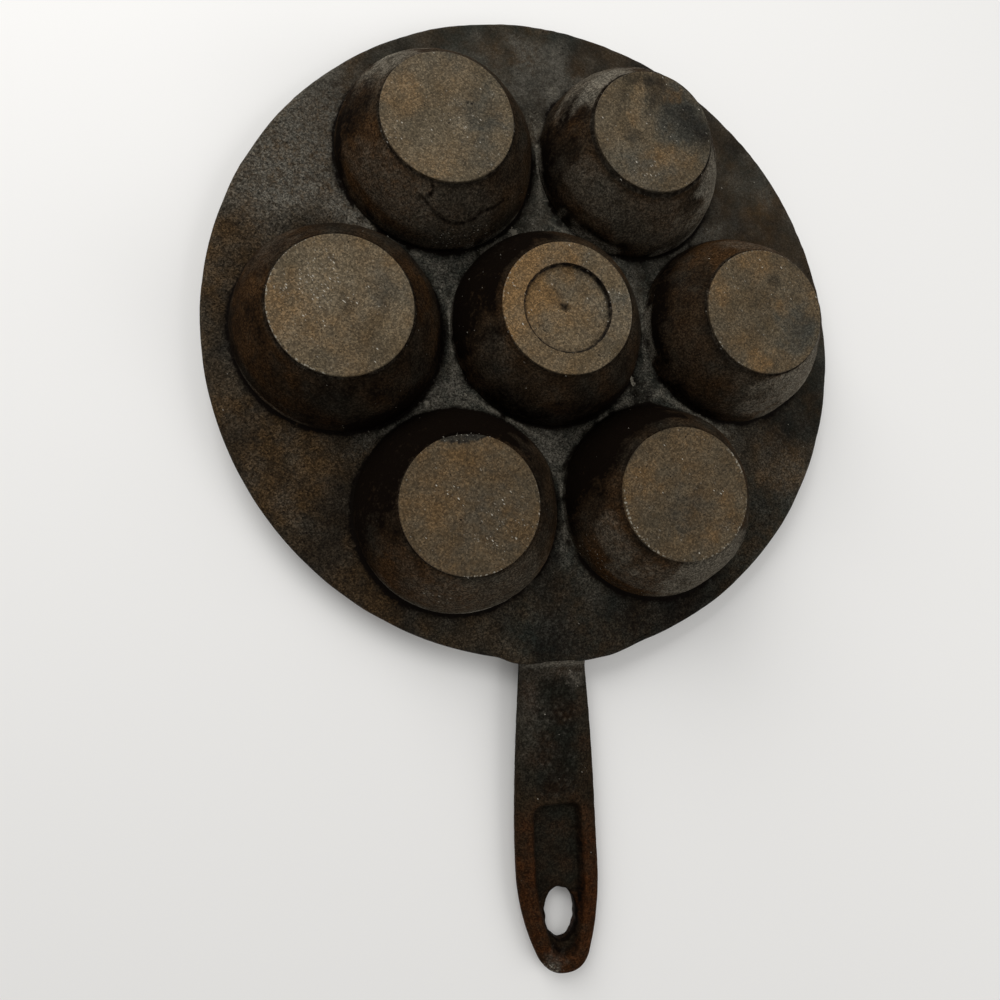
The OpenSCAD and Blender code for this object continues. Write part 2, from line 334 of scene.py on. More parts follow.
def cup_masks(name, points, outside, seed):
    """Where a cup is sooty, rusty, worn, grey or glinting, and where shade and highlights are painted on it, in its own
    frame.
    """
    radius = np.hypot(points[:, 0], points[:, 1])
    height = points[:, 2]
    foot = outside & (radius < LEDGE_R - 0.1) & (height < RECESS_DEPTH + MARK_DEPTH + 0.1)
    wall = outside & ~foot
    place = points[:, :2] + CENTRES[name]
    # How far a spot of the wall faces away from the middle of the pan; walls that face outwards get less painted shade
    outward = (points[:, :2] @ CENTRES[name]) / np.maximum(radius, 1) / max(np.linalg.norm(CENTRES[name]), 1)
    base = smooth(height, 9, UNDER_Z - 1)
    crease = smooth(height, UNDER_Z - 2.2, UNDER_Z - 0.8)
    gaps = cup_gaps(place)
    # Painted shade on the part of the wall near the plate, where another cup stands close
    valley_shade = (1 - smooth(gaps[1], 5, 13)) * smooth(height, 10, 16)
    web, narrow = web_grey_and_highlight(place)
    web *= wall * smooth(height, 20, 21.2)
    masks = {
        # Soot and painted shade: darker towards the plate, in the crease and in the valleys, lighter on walls that face
        # outwards, cleared where the web's painted highlight lies
        "soot_and_shade": wall * (0.1 + 0.2 * base - 0.2 * outward + 0.5 * crease + 0.12 * waves(points, 9, seed + 8)
                        + 0.5 * valley_shade) - 1.2 * web,
        "rust": np.where(foot, FOOT_RUST[name] + 0.12 * waves(points, 16, seed + 4), 0.3 + 0.2 * waves(points, 16, seed + 4)),
        "wear_and_sheen": np.where(foot, 0.35 + 0.15 * waves(points, 9, seed + 5), 0.0),
        "grey": 0.3 + np.where(foot, 0.12, 0.2) * waves(points, 12, seed + 6) + web,
        "glint": np.where(foot, 0.04, 0.002),
        "bare_and_highlight": 0.5 * web * narrow,
        "dim": np.where(foot, FOOT_DIM[name], 0.0),
        "edge": np.zeros(len(points)),
        "pit": np.zeros(len(points)),
    }
    # Painted shade in the crease where the wall meets the foot's step
    masks["soot_and_shade"] += wall * 0.3 * (1 - smooth(np.abs(height - FOOT_STEP - 0.2), 0.1, 0.6))
    # The small step under the foot's edge gets painted shade, as black as the wall
    masks["soot_and_shade"] += 0.7 * foot * (radius > RECESS_R + 2) * smooth(height, 0.15, 0.5)
    if name == "cup_middle":
        # The recess's edge is rounder on one side, so its ring of painted shade is wider there
        round_side = points[:, 0] - points[:, 1] > 4
        in_ring = (radius > RECESS_R - 0.3) & (radius < np.where(round_side, RECESS_R + 0.4, RECESS_R + 0.2))
        masks["soot_and_shade"] = np.where(foot & in_ring, 0.97, masks["soot_and_shade"])
    for mask, amount, x, y, spread in FOOT_MARKS.get(name, ()):
        masks[mask] = masks[mask] + foot * amount * blob(place, (x, y), spread, seed + 7)
    for mask, amount, start, end, width in FOOT_STREAKS.get(name, ()):
        masks[mask] = masks[mask] + foot * amount * streak(place, start, end, width, seed + 7)
    turn = np.degrees(np.arctan2(points[:, 1], points[:, 0]))
    for mask, amount, angle, spread, low, high in WALL_MARKS.get(name, ()):
        aside = np.abs((turn - angle + 180) % 360 - 180) + 5 * waves(points, 7, seed + 9)
        band = smooth(height, low - 1.2, low + 0.8) * (1 - smooth(height, high - 0.8, high + 1.2))
        masks[mask] = masks[mask] + wall * amount * band * (1 - smooth(aside, spread * 0.4, spread))
    for amount, angle, spread in FOOT_EDGES.get(name, ()):
        aside = np.abs((turn - angle + 180) % 360 - 180)
        rim = foot * smooth(radius, FOOT_R - 0.66, FOOT_R - 0.3) * (1 - smooth(height, 0.1, 0.3))
        masks["edge"] += amount * rim * (1 - smooth(aside, spread * 0.5, spread))
    # A painted highlight along the edge that a wall ends in
    for amount, angle, spread in BASE_HIGHLIGHTS.get(name, ()):
        aside = np.abs((turn - angle + 180) % 360 - 180)
        highlight_share = (1 - smooth(np.abs(height - BASE_HIGHLIGHT_Z), 0.3, 1.1)) * (1 - smooth(aside, spread * 0.5, spread))
        masks["bare_and_highlight"] += amount * highlight_share
        masks["edge"] += 0.4 * amount * highlight_share
        masks["soot_and_shade"] -= highlight_share
    if name == STAIN_CUP:
        masks["soot_and_shade"] = np.maximum(masks["soot_and_shade"], 0) + wall * stain(turn % 360, height)
    for mask, values in cooking_side(np.column_stack([place, height])).items():
        masks[mask] = np.where(outside, masks[mask], values)
    return masks


def cooking_side(place):
    """The masks of the side that is up in use, which run on from the plate into the hollows."""
    return {"rust": 0.3 + 0.2 * waves(place, 16, 71), "grey": 0.3 + 0.2 * waves(place, 12, 72),
            "wear_and_sheen": 0.1 + 0.1 * waves(place, 9, 73)}


# The dark outline of a dried drip on one cup's wall, as the way it faces in degrees and its height
STAIN_CUP = "cup_2"
STAIN_LINE = [(283, 1.8), (281, 3.2), (286, 4.9), (280, 6.8), (276, 7.9), (268, 9.9), (259, 10.9), (249, 10.2), (245, 8.7),
              (234, 9.0), (227, 8.6)]
STAIN_BLOT = (289.5, 5.2, 1.4)


def stain(turn, height):
    """How dark the drip's outline makes a spot of the wall."""
    way = np.radians(turn) * (BOWL_R - 5)
    places = np.column_stack([way, height])
    path = np.array([(math.radians(a) * (BOWL_R - 5), z) for a, z in STAIN_LINE])
    nearest = np.full(len(places), 1e9)
    for a, b in zip(path[:-1], path[1:]):
        t = np.clip(((places - a) @ (b - a)) / ((b - a) @ (b - a)), 0, 1)
        nearest = np.minimum(nearest, np.linalg.norm(places - a - t[:, None] * (b - a), axis=1))
    blot = np.hypot(way - math.radians(STAIN_BLOT[0]) * (BOWL_R - 5), height - STAIN_BLOT[1])
    return 0.9 * (1 - smooth(nearest, 0.2, 0.9)) + 0.7 * (1 - smooth(blot, 0.4, STAIN_BLOT[2]))


# Painted highlights along the edge that a cup's wall ends in: amount, the way they face and half their width in degrees
BASE_HIGHLIGHTS = {
    "cup_6": [(0.5, 278, 56), (0.8, 243, 34)],
    "cup_5": [(0.4, 238, 26)],
    "cup_1": [(0.12, 312, 30)],
}
BASE_HIGHLIGHT_Z = 21.3
# How rusty the feet are, and how much darker than the palest ones
FOOT_RUST = {"cup_middle": 0.35, "cup_1": 0.3, "cup_2": 0.12, "cup_3": 0.12, "cup_4": 0.3, "cup_5": 0.45, "cup_6": 0.6}
FOOT_DIM = {"cup_middle": 0.0, "cup_1": 0.02, "cup_2": 0.05, "cup_3": 0.2, "cup_4": 0.24, "cup_5": 0.35, "cup_6": 0.37}
# Marks on the feet: mask, amount, then x, y and radius in the pan's frame
FOOT_MARKS = {
    "cup_middle": [("wear_and_sheen", -0.3, 15, 6, 16), ("rust", 1.4, 17, 4, 17), ("rust", 0.8, 3, 17, 12), ("grey", 0.9, -16, 0, 13),
                   ("dim", 0.1, 2, 17, 9),
                   ("glint", 0.6, -15.5, 3.5, 5), ("glint", 0.5, 17.5, 5, 3), ("rust", 0.6, 2.6, -1, 8),
                   ("soot_and_shade", 0.8, 0.9, 0.9, 2.0), ("soot_and_shade", 0.3, 4, 4, 4), ("grey", 0.5, 0, 9, 9), ("dim", 0.1, 0, 10, 6)],
    "cup_1": [("grey", 0.8, 55.7, 2, 11), ("rust", 0.6, 83, -4, 12), ("wear_and_sheen", 0.5, 72, 4, 13), ("glint", 0.6, 74, 5, 9),
              ("glint", 0.6, 74, 13, 4.5), ("glint", 0.6, 85, 1.5, 5), ("glint", 0.6, 61.5, 3, 4), ("glint", 0.35, 74, 0, 13),
              ("dim", 0.3, 55.7, 2, 6), ("dim", 0.3, 67, -2.8, 4), ("dim", 0.15, 62, -14, 10), ("rust", 0.3, 66, -17, 8)],
    "cup_2": [("grey", 0.9, 26, 59, 12), ("rust", 0.6, 50, 62, 10), ("rust", 0.5, 42, 41.5, 9), ("dim", 0.22, 26, 60, 9),
              ("grey", 0.6, 27, 47, 8), ("dim", 0.15, 27, 47, 8), ("glint", 0.25, 34, 57, 9), ("glint", 0.5, 54, 50, 6),
              ("glint", 0.4, 24, 45, 6), ("grey", 0.4, 40, 74, 8), ("wear_and_sheen", 0.3, 38, 50, 12)],
    "cup_3": [("grey", 1.0, -42, 66, 15), ("rust", -0.6, -44, 64, 15), ("wear_and_sheen", -0.4, -42, 66, 14), ("dim", 0.08, -42, 66, 15),
              ("rust", 0.5, -37, 52, 8), ("rust", 0.9, -39.5, 73.5, 4), ("grey", 0.9, -26, 48, 12), ("glint", 0.5, -27, 47, 8),
              ("wear_and_sheen", 0.3, -18, 60, 10), ("glint", 0.12, -40, 60, 8)],
    "cup_4": [("grey", 1.2, -80, -2, 11), ("rust", -0.3, -80, -2, 11), ("dim", 0.15, -80, -2, 10), ("rust", 0.8, -66, 20, 8),
              ("rust", 1.0, -65, -14, 7), ("rust", 1.0, -52, 9, 6), ("rust", 0.7, -75, 5, 5), ("dim", 0.35, -72.5, 13.5, 3),
              ("dim", 0.15, -66, 8, 6), ("rust", 0.4, -86, 8, 5), ("glint", 0.1, -75, 12, 6)],
    "cup_5": [("rust", 1.0, -21, -53, 8), ("grey", 1.0, -38, -63, 11), ("pit", 0.8, -36, -45, 10), ("rust", 0.7, -43.6, -71, 4),
              ("rust", 0.6, -50.5, -59.8, 5), ("rust", 0.5, -37, -40, 6), ("dim", 0.15, -38, -64, 9), ("pit", 0.3, -34, -60, 10)],
    "cup_6": [("rust", 0.7, 42, -60, 11), ("rust", 0.4, 36, -48, 10), ("grey", 0.9, 27, -64, 13), ("glint", 0.15, 22, -66, 10),
              ("grey", 0.6, 38, -77, 9), ("pit", 0.4, 36, -48, 12)],
}
# Strokes on the feet: mask, amount, from where to where, and half the width
FOOT_STREAKS = {
    "cup_1": [("glint", 0.9, (72.3, 12.6), (70.0, 9.0), 1.0), ("soot_and_shade", 0.4, (71.6, 11.6), (69.4, 7.8), 0.7),
              ("glint", 0.6, (80, 2.2), (68, -2), 1.8)],
    "cup_3": [("dim", 0.3, (-24, 78), (-34, 78), 3.5), ("dim", 0.28, (-32, 75.5), (-50.5, 61.5), 7.5),
              ("dim", 0.15, (-35, 66), (-48, 59), 5), ("dim", 0.18, (-43.5, 68), (-51.5, 62), 4),
              ("dim", -0.3, (-27.6, 75), (-24.5, 64), 3.0), ("rust", 0.5, (-27.6, 75), (-24.5, 64), 3.0),
              ("dim", 0.25, (-21.8, 73), (-19, 64.5), 1.3), ("dim", 0.3, (-22.5, 57.5), (-26.5, 58.8), 2.0),
              ("dim", 0.2, (-32.2, 74), (-30, 66), 1.6), ("rust", 0.5, (-31, 53), (-44, 52), 3.5)],
    "cup_4": [("glint", 1.0, (-78.3, 13.6), (-74.7, 11), 1.0)],
    "cup_6": [("glint", 0.9, (43.5, -55), (34.5, -59.5), 1.3), ("glint", 0.9, (29.3, -58.6), (24.6, -61), 1.3),
              ("glint", 0.8, (27.8, -62.8), (21.7, -66.2), 1.4), ("glint", 0.9, (30.7, -69.7), (24, -73.2), 1.7),
              ("glint", 0.9, (16.3, -67.4), (13.3, -67.4), 1.6)],
}
# Marks on the walls: mask, amount, the way they face in degrees from +X, half their width in degrees, low and high
# edge. Besides rust and wear, they paint shade on walls turned from the light and highlights on lit crescents
WALL_MARKS = {
    "cup_middle": [("soot_and_shade", 1.2, 30, 64, 2.2, 24), ("soot_and_shade", 0.4, 95, 50, 4, 24), ("rust", 0.5, 3, 30, 1.5, 8),
                   ("glint", 0.02, 25, 50, 2, 14), ("soot_and_shade", 0.4, 225, 50, 5, 24), ("wear_and_sheen", 0.12, 328, 24, 2.5, 8),
                   ("soot_and_shade", 0.25, 280, 50, 8, 24)],
    "cup_1": [("soot_and_shade", 0.2, 0, 400, 0, 25), ("rust", 0.8, 345, 60, 2, 16), ("soot_and_shade", 0.25, 335, 85, 2, 21),
              ("soot_and_shade", 0.2, 250, 50, 2, 24), ("wear_and_sheen", 0.2, 42, 30, 3, 12), ("rust", 0.9, 165, 30, 1, 8),
              ("rust", 0.5, 10, 60, 2, 14), ("soot_and_shade", 0.15, 8, 44, 2, 20)],
    "cup_2": [("bare_and_highlight", 0.3, 237, 20, 20, 24), ("soot_and_shade", -0.8, 237, 20, 20, 24), ("soot_and_shade", -0.4, 232, 34, 6, 20),
              ("wear_and_sheen", 0.4, 40, 28, 2, 12), ("bare_and_highlight", 0.3, 66, 26, 9, 24), ("wear_and_sheen", 0.4, 50, 22, 2, 18),
              ("bare_and_highlight", 0.2, 56, 26, 1, 10), ("soot_and_shade", -0.5, 275, 50, 2, 21), ("wear_and_sheen", 0.14, 275, 46, 2, 21), ("rust", 0.6, 312, 45, 2, 18), ("soot_and_shade", -0.8, 312, 48, 2, 17),
              ("wear_and_sheen", 0.35, 305, 44, 2, 14), ("soot_and_shade", -0.6, 275, 60, 2.5, 20.5), ("wear_and_sheen", 0.12, 265, 40, 3, 16),
              ("soot_and_shade", 0.8, 354, 22, 14, 23), ("soot_and_shade", 0.8, 8, 28, 4, 18), ("glint", 0.35, 258, 30, 13, 20), ("rust", 0.4, 330, 60, 2, 18)],
    "cup_3": [("bare_and_highlight", 0.5, 297, 22, 18.5, 24), ("soot_and_shade", -1.2, 297, 22, 18.5, 24), ("bare_and_highlight", 0.4, 237, 20, 19.5, 24),
              ("soot_and_shade", -1.2, 237, 20, 19.5, 24), ("bare_and_highlight", 0.35, 357, 12, 19.5, 24), ("soot_and_shade", -1, 357, 12, 19.5, 24),
              ("bare_and_highlight", 0.35, 48, 34, 1.3, 7), ("wear_and_sheen", 0.9, 48, 40, 2, 14), ("bare_and_highlight", 0.4, 202, 22, 1.5, 12), ("rust", 0.5, 205, 26, 6, 16),
              ("wear_and_sheen", 0.8, 196, 24, 3, 22), ("wear_and_sheen", 0.6, 214, 18, 9, 23), ("rust", 0.5, 15, 30, 1, 8),
              ("soot_and_shade", -0.7, 316, 34, 3, 16), ("wear_and_sheen", 0.4, 318, 28, 3, 12), ("soot_and_shade", 0.35, 350, 22, 5, 24),
              ("soot_and_shade", -0.5, 280, 50, 3, 15), ("wear_and_sheen", 0.15, 265, 40, 3, 14), ("soot_and_shade", -0.5, 240, 60, 8, 20),
              ("wear_and_sheen", 0.3, 232, 34, 8, 20), ("wear_and_sheen", 0.12, 275, 46, 3, 20), ("soot_and_shade", 0.5, 20, 24, 2, 12)],
    "cup_4": [("rust", 1.0, 236, 30, 1, 12), ("grey", -0.6, 225, 40, 1, 20), ("bare_and_highlight", 0.35, 203, 24, 10, 24), ("bare_and_highlight", 0.25, 222, 26, 1, 22), ("wear_and_sheen", 1.0, 230, 38, 1, 22),
              ("wear_and_sheen", 0.6, 258, 24, 2, 16), ("rust", 0.8, 250, 20, 8, 20), ("soot_and_shade", -0.8, 235, 50, 2, 23), ("wear_and_sheen", 0.2, 268, 34, 2, 18),
              ("soot_and_shade", -0.4, 285, 40, 3, 17), ("rust", 1.2, 80, 50, 1.5, 14), ("wear_and_sheen", 0.35, 92, 34, 2, 10),
              ("soot_and_shade", -0.4, 75, 50, 1.5, 14), ("soot_and_shade", -0.4, 318, 44, 3, 15), ("soot_and_shade", 0.4, 5, 40, 9, 18),
              ("bare_and_highlight", 0.5, 357, 18, 18.5, 24), ("soot_and_shade", -1.2, 357, 18, 18.5, 24)],
    "cup_5": [("soot_and_shade", 1.0, 55, 60, 5, 24), ("grey", 1.0, 240, 46, 1.5, 22), ("wear_and_sheen", 1.1, 243, 44, 1, 21), ("bare_and_highlight", 0.1, 236, 34, 2, 20),
              ("soot_and_shade", -0.8, 246, 56, 1, 22), ("rust", 0.7, 310, 50, 2, 16), ("glint", 0.25, 308, 40, 12, 22),
              ("wear_and_sheen", 0.45, 326, 22, 3, 10), ("soot_and_shade", -0.7, 308, 40, 4, 22), ("wear_and_sheen", 0.5, 288, 30, 3, 14),
              ("rust", 0.5, 295, 40, 14, 22), ("soot_and_shade", 0.5, 40, 60, 3, 24)],
    "cup_6": [("wear_and_sheen", 0.42, 262, 62, 2, 20), ("soot_and_shade", -0.5, 268, 76, 2, 23), ("rust", 0.7, 300, 50, 2, 20),
              ("soot_and_shade", 1.25, 44, 88, 1.5, 24), ("soot_and_shade", 1.2, 95, 50, 2, 24), ("soot_and_shade", 0.35, 172, 36, 2, 24),
              ("glint", 0.5, 287, 8, 8, 11), ("soot_and_shade", 0.3, 330, 30, 12, 24), ("wear_and_sheen", 0.25, 275, 50, 17, 21)],
}
# Bright beaded stretches of the feet's edges: amount, the way they face and half their width in degrees
FOOT_EDGES = {
    "cup_middle": [(0.3, 10, 60), (0.25, 170, 40)],
    "cup_1": [(0.55, 325, 70), (0.35, 40, 40)],
    "cup_2": [(0.45, 310, 70), (0.25, 30, 50)],
    "cup_3": [(0.3, 280, 60), (0.35, 195, 25)],
    "cup_4": [(0.3, 310, 40), (0.3, 80, 50)],
    "cup_5": [(0.55, 325, 50), (0.6, 150, 20), (0.3, 235, 60)],
    "cup_6": [(0.55, 262, 22), (0.25, 185, 50)],
}

# The plate

EDGE_SIDES = 720
CREST_RISE = 0.6
UNDER_SPACING, COOK_SPACING = 0.8, 1.6
# Half the boss's width and its easing, towards -X and towards +X
BOSS_HALF, BOSS_EASE = np.radians([17.5, 10.5]), np.radians([8, 4])


def boss_bulge(angles):
    """How far the plate's edge stands out behind the handle."""
    from_handle = (angles + math.pi / 2 + math.pi) % (2 * math.pi) - math.pi
    half, ease = [np.where(from_handle > 0, pair[1], pair[0]) for pair in (BOSS_HALF, BOSS_EASE)]
    return (BOSS_R - PLATE_R) * (1 - smooth(np.abs(from_handle), half - ease, half))


def scatter(reach, spacing, seed, keep):
    """A loosely even field of points (x, y) over a square, of which keep picks some."""
    rng = np.random.default_rng(seed)
    rows = np.arange(-reach, reach, spacing * 0.866)
    columns = np.arange(-reach, reach, spacing)
    grid = np.array([(x + spacing / 2 * (j % 2), y) for j, y in enumerate(rows) for x in columns])
    grid += rng.uniform(-0.18, 0.18, grid.shape) * spacing
    return grid[keep(grid)]


def clear_of_cups(points, radius):
    return np.min([np.linalg.norm(points - c, axis=1) for c in CENTRES.values()], axis=0) > radius


def web_crest(flat, gaps):
    """1 along the middle of the web between two cups that stand close together, 0 away from it."""
    return (1 - smooth(gaps[1] - gaps[0], 0.2, 2.6)) * (1 - smooth(gaps[0], 3, 10))


# How far the light has the webs seem moved
WEB_SHIFT = (1.3, 0)


def web_grey_and_highlight(flat):
    """How much of a web's grey and painted highlight a place has, and whether that web is a narrow one."""
    gaps = cup_gaps(flat + WEB_SHIFT)
    web = smooth(gaps[0], 0.1, 1.3) * (1 - smooth(gaps[1], 5, 10))
    narrow = 1 - smooth(gaps[1], 1.5, 6)
    web *= 1 - narrow * smooth(gaps[1] - gaps[0], 0.3, 3.0)
    return web * np.clip(0.85 + 0.4 * waves(flat, 6, 36), 0, 1), narrow


def cup_gaps(flat):
    """Distances to the walls of the cups, the nearest one first."""
    return np.sort([np.linalg.norm(flat - c, axis=1) for c in CENTRES.values()], axis=0) - BOWL_R


def make_plate(materials):
    skin = Skin()
    angles = 2 * math.pi * np.arange(EDGE_SIDES) / EDGE_SIDES
    bulge = boss_bulge(angles)
    rim_c = (PLATE_R - RIM_W / 2, RIM_TOP - RIM_W / 2)
    # Each entry is r, z and whether that ring follows the boss's bulge
    edge = [(r, z, 1) for r, z in arc((PLATE_R - EDGE_R, UNDER_Z + EDGE_R), EDGE_R, -90, 0, 7)]
    edge += [(r, z, 1) for r, z in line((PLATE_R, UNDER_Z + EDGE_R + 0.8), (PLATE_R, rim_c[1] - 0.4), 5)]
    edge += [(r, z, 1) for r, z in arc(rim_c, RIM_W / 2, 0, 30, 3)]
    edge += [(r, z, 0) for r, z in arc(rim_c, RIM_W / 2, 33, 180, 16)]
    fillet_c = (PLATE_R - RIM_W - RIM_FILLET, COOK_Z + RIM_FILLET)
    edge += [(r, z, 0) for r, z in line((PLATE_R - RIM_W, rim_c[1] - 0.5), (PLATE_R - RIM_W, fillet_c[1] + 0.3), 1)]
    edge += [(r, z, 0) for r, z in arc(fillet_c, RIM_FILLET, 0, -90, 7)]
    rings = []
    for r, z, follows in edge:
        reach = r + bulge * follows
        rings.append(skin.add(np.column_stack([reach * np.cos(angles), reach * np.sin(angles), np.full(EDGE_SIDES, z)])))
    for k in range(len(rings) - 1):
        skin.bridge(rings[k], rings[k + 1], 0 if edge[k][1] < RIM_TOP - 1 and edge[k][0] > PLATE_R - 1.9 else 1)

    base_r = ball_at(UNDER_Z - BASE_FILLET, WALL_R, WALL_Z) - 0.05 + BASE_FILLET
    sunk_r = BOWL_R - 0.6
    hole = arc((base_r, UNDER_Z - BASE_FILLET), BASE_FILLET, 90, 180, 6)
    hole += [(sunk_r, UNDER_Z - BASE_FILLET - 0.3), (sunk_r - 0.2, UNDER_Z)]
    brim = ball_at(UNDER_Z, HOLLOW_R, HOLLOW_Z)
    hollow_start = math.degrees(math.atan2(UNDER_Z - HOLLOW_Z, brim))
    touch = math.degrees(math.atan2(LIP_Z - HOLLOW_Z, LIP_RING_R))
    hole += [(brim, UNDER_Z)] + arc((0, HOLLOW_Z), HOLLOW_R, hollow_start + JOINT_STEP, touch, 5)
    hole += arc((LIP_RING_R, LIP_Z), LIP_R, 180 + touch, 90, 7)[1:]
    turns = 2 * math.pi * np.arange(CUP_SIDES) / CUP_SIDES
    under_holes, cook_holes = [], []
    for centre in CENTRES.values():
        cup_rings = []
        for r, z in hole:
            ring = np.column_stack([centre[0] + r * np.cos(turns), centre[1] + r * np.sin(turns), np.full(CUP_SIDES, z)])
            cup_rings.append(skin.add(ring))
        for k in range(len(cup_rings) - 1):
            skin.bridge(cup_rings[k], cup_rings[k + 1], 0 if k < 8 else 1)
        under_holes.append(cup_rings[0])
        cook_holes.append(cup_rings[-1])

    under = scatter(PLATE_R + 2, UNDER_SPACING, 1, lambda p: clear_of_cups(p, base_r + 0.35)
                    & (np.hypot(p[:, 0], p[:, 1]) < PLATE_R - EDGE_R - 0.4 + boss_bulge(np.arctan2(p[:, 1], p[:, 0]))))
    skin.patch(rings[0], under_holes, under, np.full(len(under), UNDER_Z), 0)
    cook = scatter(PLATE_R, COOK_SPACING, 2, lambda p: clear_of_cups(p, LIP_RING_R + 0.8)
                   & (np.hypot(p[:, 0], p[:, 1]) < fillet_c[0] - 0.8))
    skin.patch(rings[-1], cook_holes, cook, np.full(len(cook), COOK_Z), 1)

    points = np.array(skin.points)
    masks = plate_masks(points)
    low = points[:, 2] < UNDER_Z + EDGE_R + 1
    open_ground = smooth(np.min([np.linalg.norm(points[:, :2] - c, axis=1) for c in CENTRES.values()], axis=0),
                         base_r + 0.1, base_r + 3)
    points[:, 2] -= low * open_ground * (0.10 * waves(points[:, :2], 26, 21) + 0.05 * waves(points[:, :2], 5, 22))
    points[:, 2] -= low * CREST_RISE * web_crest(points[:, :2], cup_gaps(points[:, :2]))
    points[:, 2] = np.maximum(points[:, 2], UNDER_Z - BASE_FILLET - 0.3)
    away = np.hypot(points[:, 0], points[:, 1])
    at_edge = (away > PLATE_R - EDGE_R - 0.1) & (points[:, 2] < BOSS_TOP)
    nudge = np.where(at_edge, 0.03 * waves(points[:, :2], 14, 23) - 0.05, 0)
    points[:, :2] *= (1 + nudge / np.maximum(away, 1))[:, None]
    return write_piece("griddle_plate", skin, points, materials, masks)


# Marks on the underside of the plate: mask, amount, x, y and radius; the wear marks on its upper part paint sheen as
# well as wear
PLATE_MARKS = [
    ("rust", 0.8, 80, 55, 30), ("rust", 0.7, 100, 16, 24), ("rust", 0.9, 84, -46, 26), ("rust", 0.4, 8, 101, 14),
    ("rust", 0.9, -90, -46, 14), ("rust", 0.5, -84, 44, 14), ("rust", 0.5, -62, 36, 10), ("rust", 1.0, 60, -88, 20),
    ("grey", 0.9, -66, -78, 40), ("grey", 0.9, -8, -100, 34), ("grey", 0.9, -101, -16, 34), ("grey", 0.9, 10, 104, 34),
    ("grey", 0.6, -84, 66, 20), ("grey", 0.5, 50, 88, 22), ("soot_and_shade", 0.35, -98, -20, 26), ("soot_and_shade", 0.6, -50, -90, 34),
    ("soot_and_shade", 0.5, 66, -80, 32), ("soot_and_shade", 0.5, -10, -100, 26), ("soot_and_shade", 0.25, -72, -62, 18), ("soot_and_shade", 0.2, -96, 30, 18),
    ("wear_and_sheen", 0.9, -5.3, 85.7, 4), ("bare_and_highlight", 0.25, -5.3, 85.7, 3.5), ("wear_and_sheen", 0.9, 80, 52, 32), ("bare_and_highlight", -0.4, 52, 27, 10),
    ("wear_and_sheen", 0.35, 66, 78, 20), ("wear_and_sheen", 1.0, -2, 92, 18), ("wear_and_sheen", 0.3, -2, 50, 6), ("wear_and_sheen", 0.7, -57, 37, 12),
    ("wear_and_sheen", 0.5, 36, -23, 9), ("wear_and_sheen", 0.5, 0, -39, 9), ("soot_and_shade", 0.35, -35, -20, 8), ("wear_and_sheen", 0.35, 35, 16, 7),
    ("wear_and_sheen", 0.4, -58, -31, 9), ("bare_and_highlight", -0.3, 50, -32, 9), ("soot_and_shade", 0.3, -34, -20, 9), ("bare_and_highlight", 0.05, -1, -39, 7),
    ("edge", 1.6, 10.6, 33.8, 1.7), ("edge", 0.9, 40.9, -25.9, 1.3), ("wear_and_sheen", 0.3, -92, -48, 14),
    ("wear_and_sheen", 0.45, 22, 90, 16), ("wear_and_sheen", 0.3, 90, 38, 10), ("wear_and_sheen", 0.25, -66, 44, 12), ("dim", 0.2, 100, -50, 30),
    ("soot_and_shade", 0.7, 52, 27, 10), ("wear_and_sheen", -0.6, 52, 27, 9), ("wear_and_sheen", 0.25, -84, 62, 16), ("wear_and_sheen", 0.25, -97, 8, 20),
    ("wear_and_sheen", 0.3, -32, 20, 8), ("wear_and_sheen", 0.3, 36, -23, 9), ("wear_and_sheen", 0.5, 0, -39, 9), ("soot_and_shade", 0.3, -34, -20, 9),
    ("wear_and_sheen", 0.2, 0, -88, 18), ("wear_and_sheen", 0.2, -84, -36, 12),
]
# Bright scratches on it: amount, from where to where, and half the width
PLATE_SCRATCHES = [(1.1, (-29.5, -12.0), (-31.3, -17.2), 1.0), (1.1, (-56.2, -26.8), (-57.8, -25.2), 1.0)]
SHELTER = (58, 74)


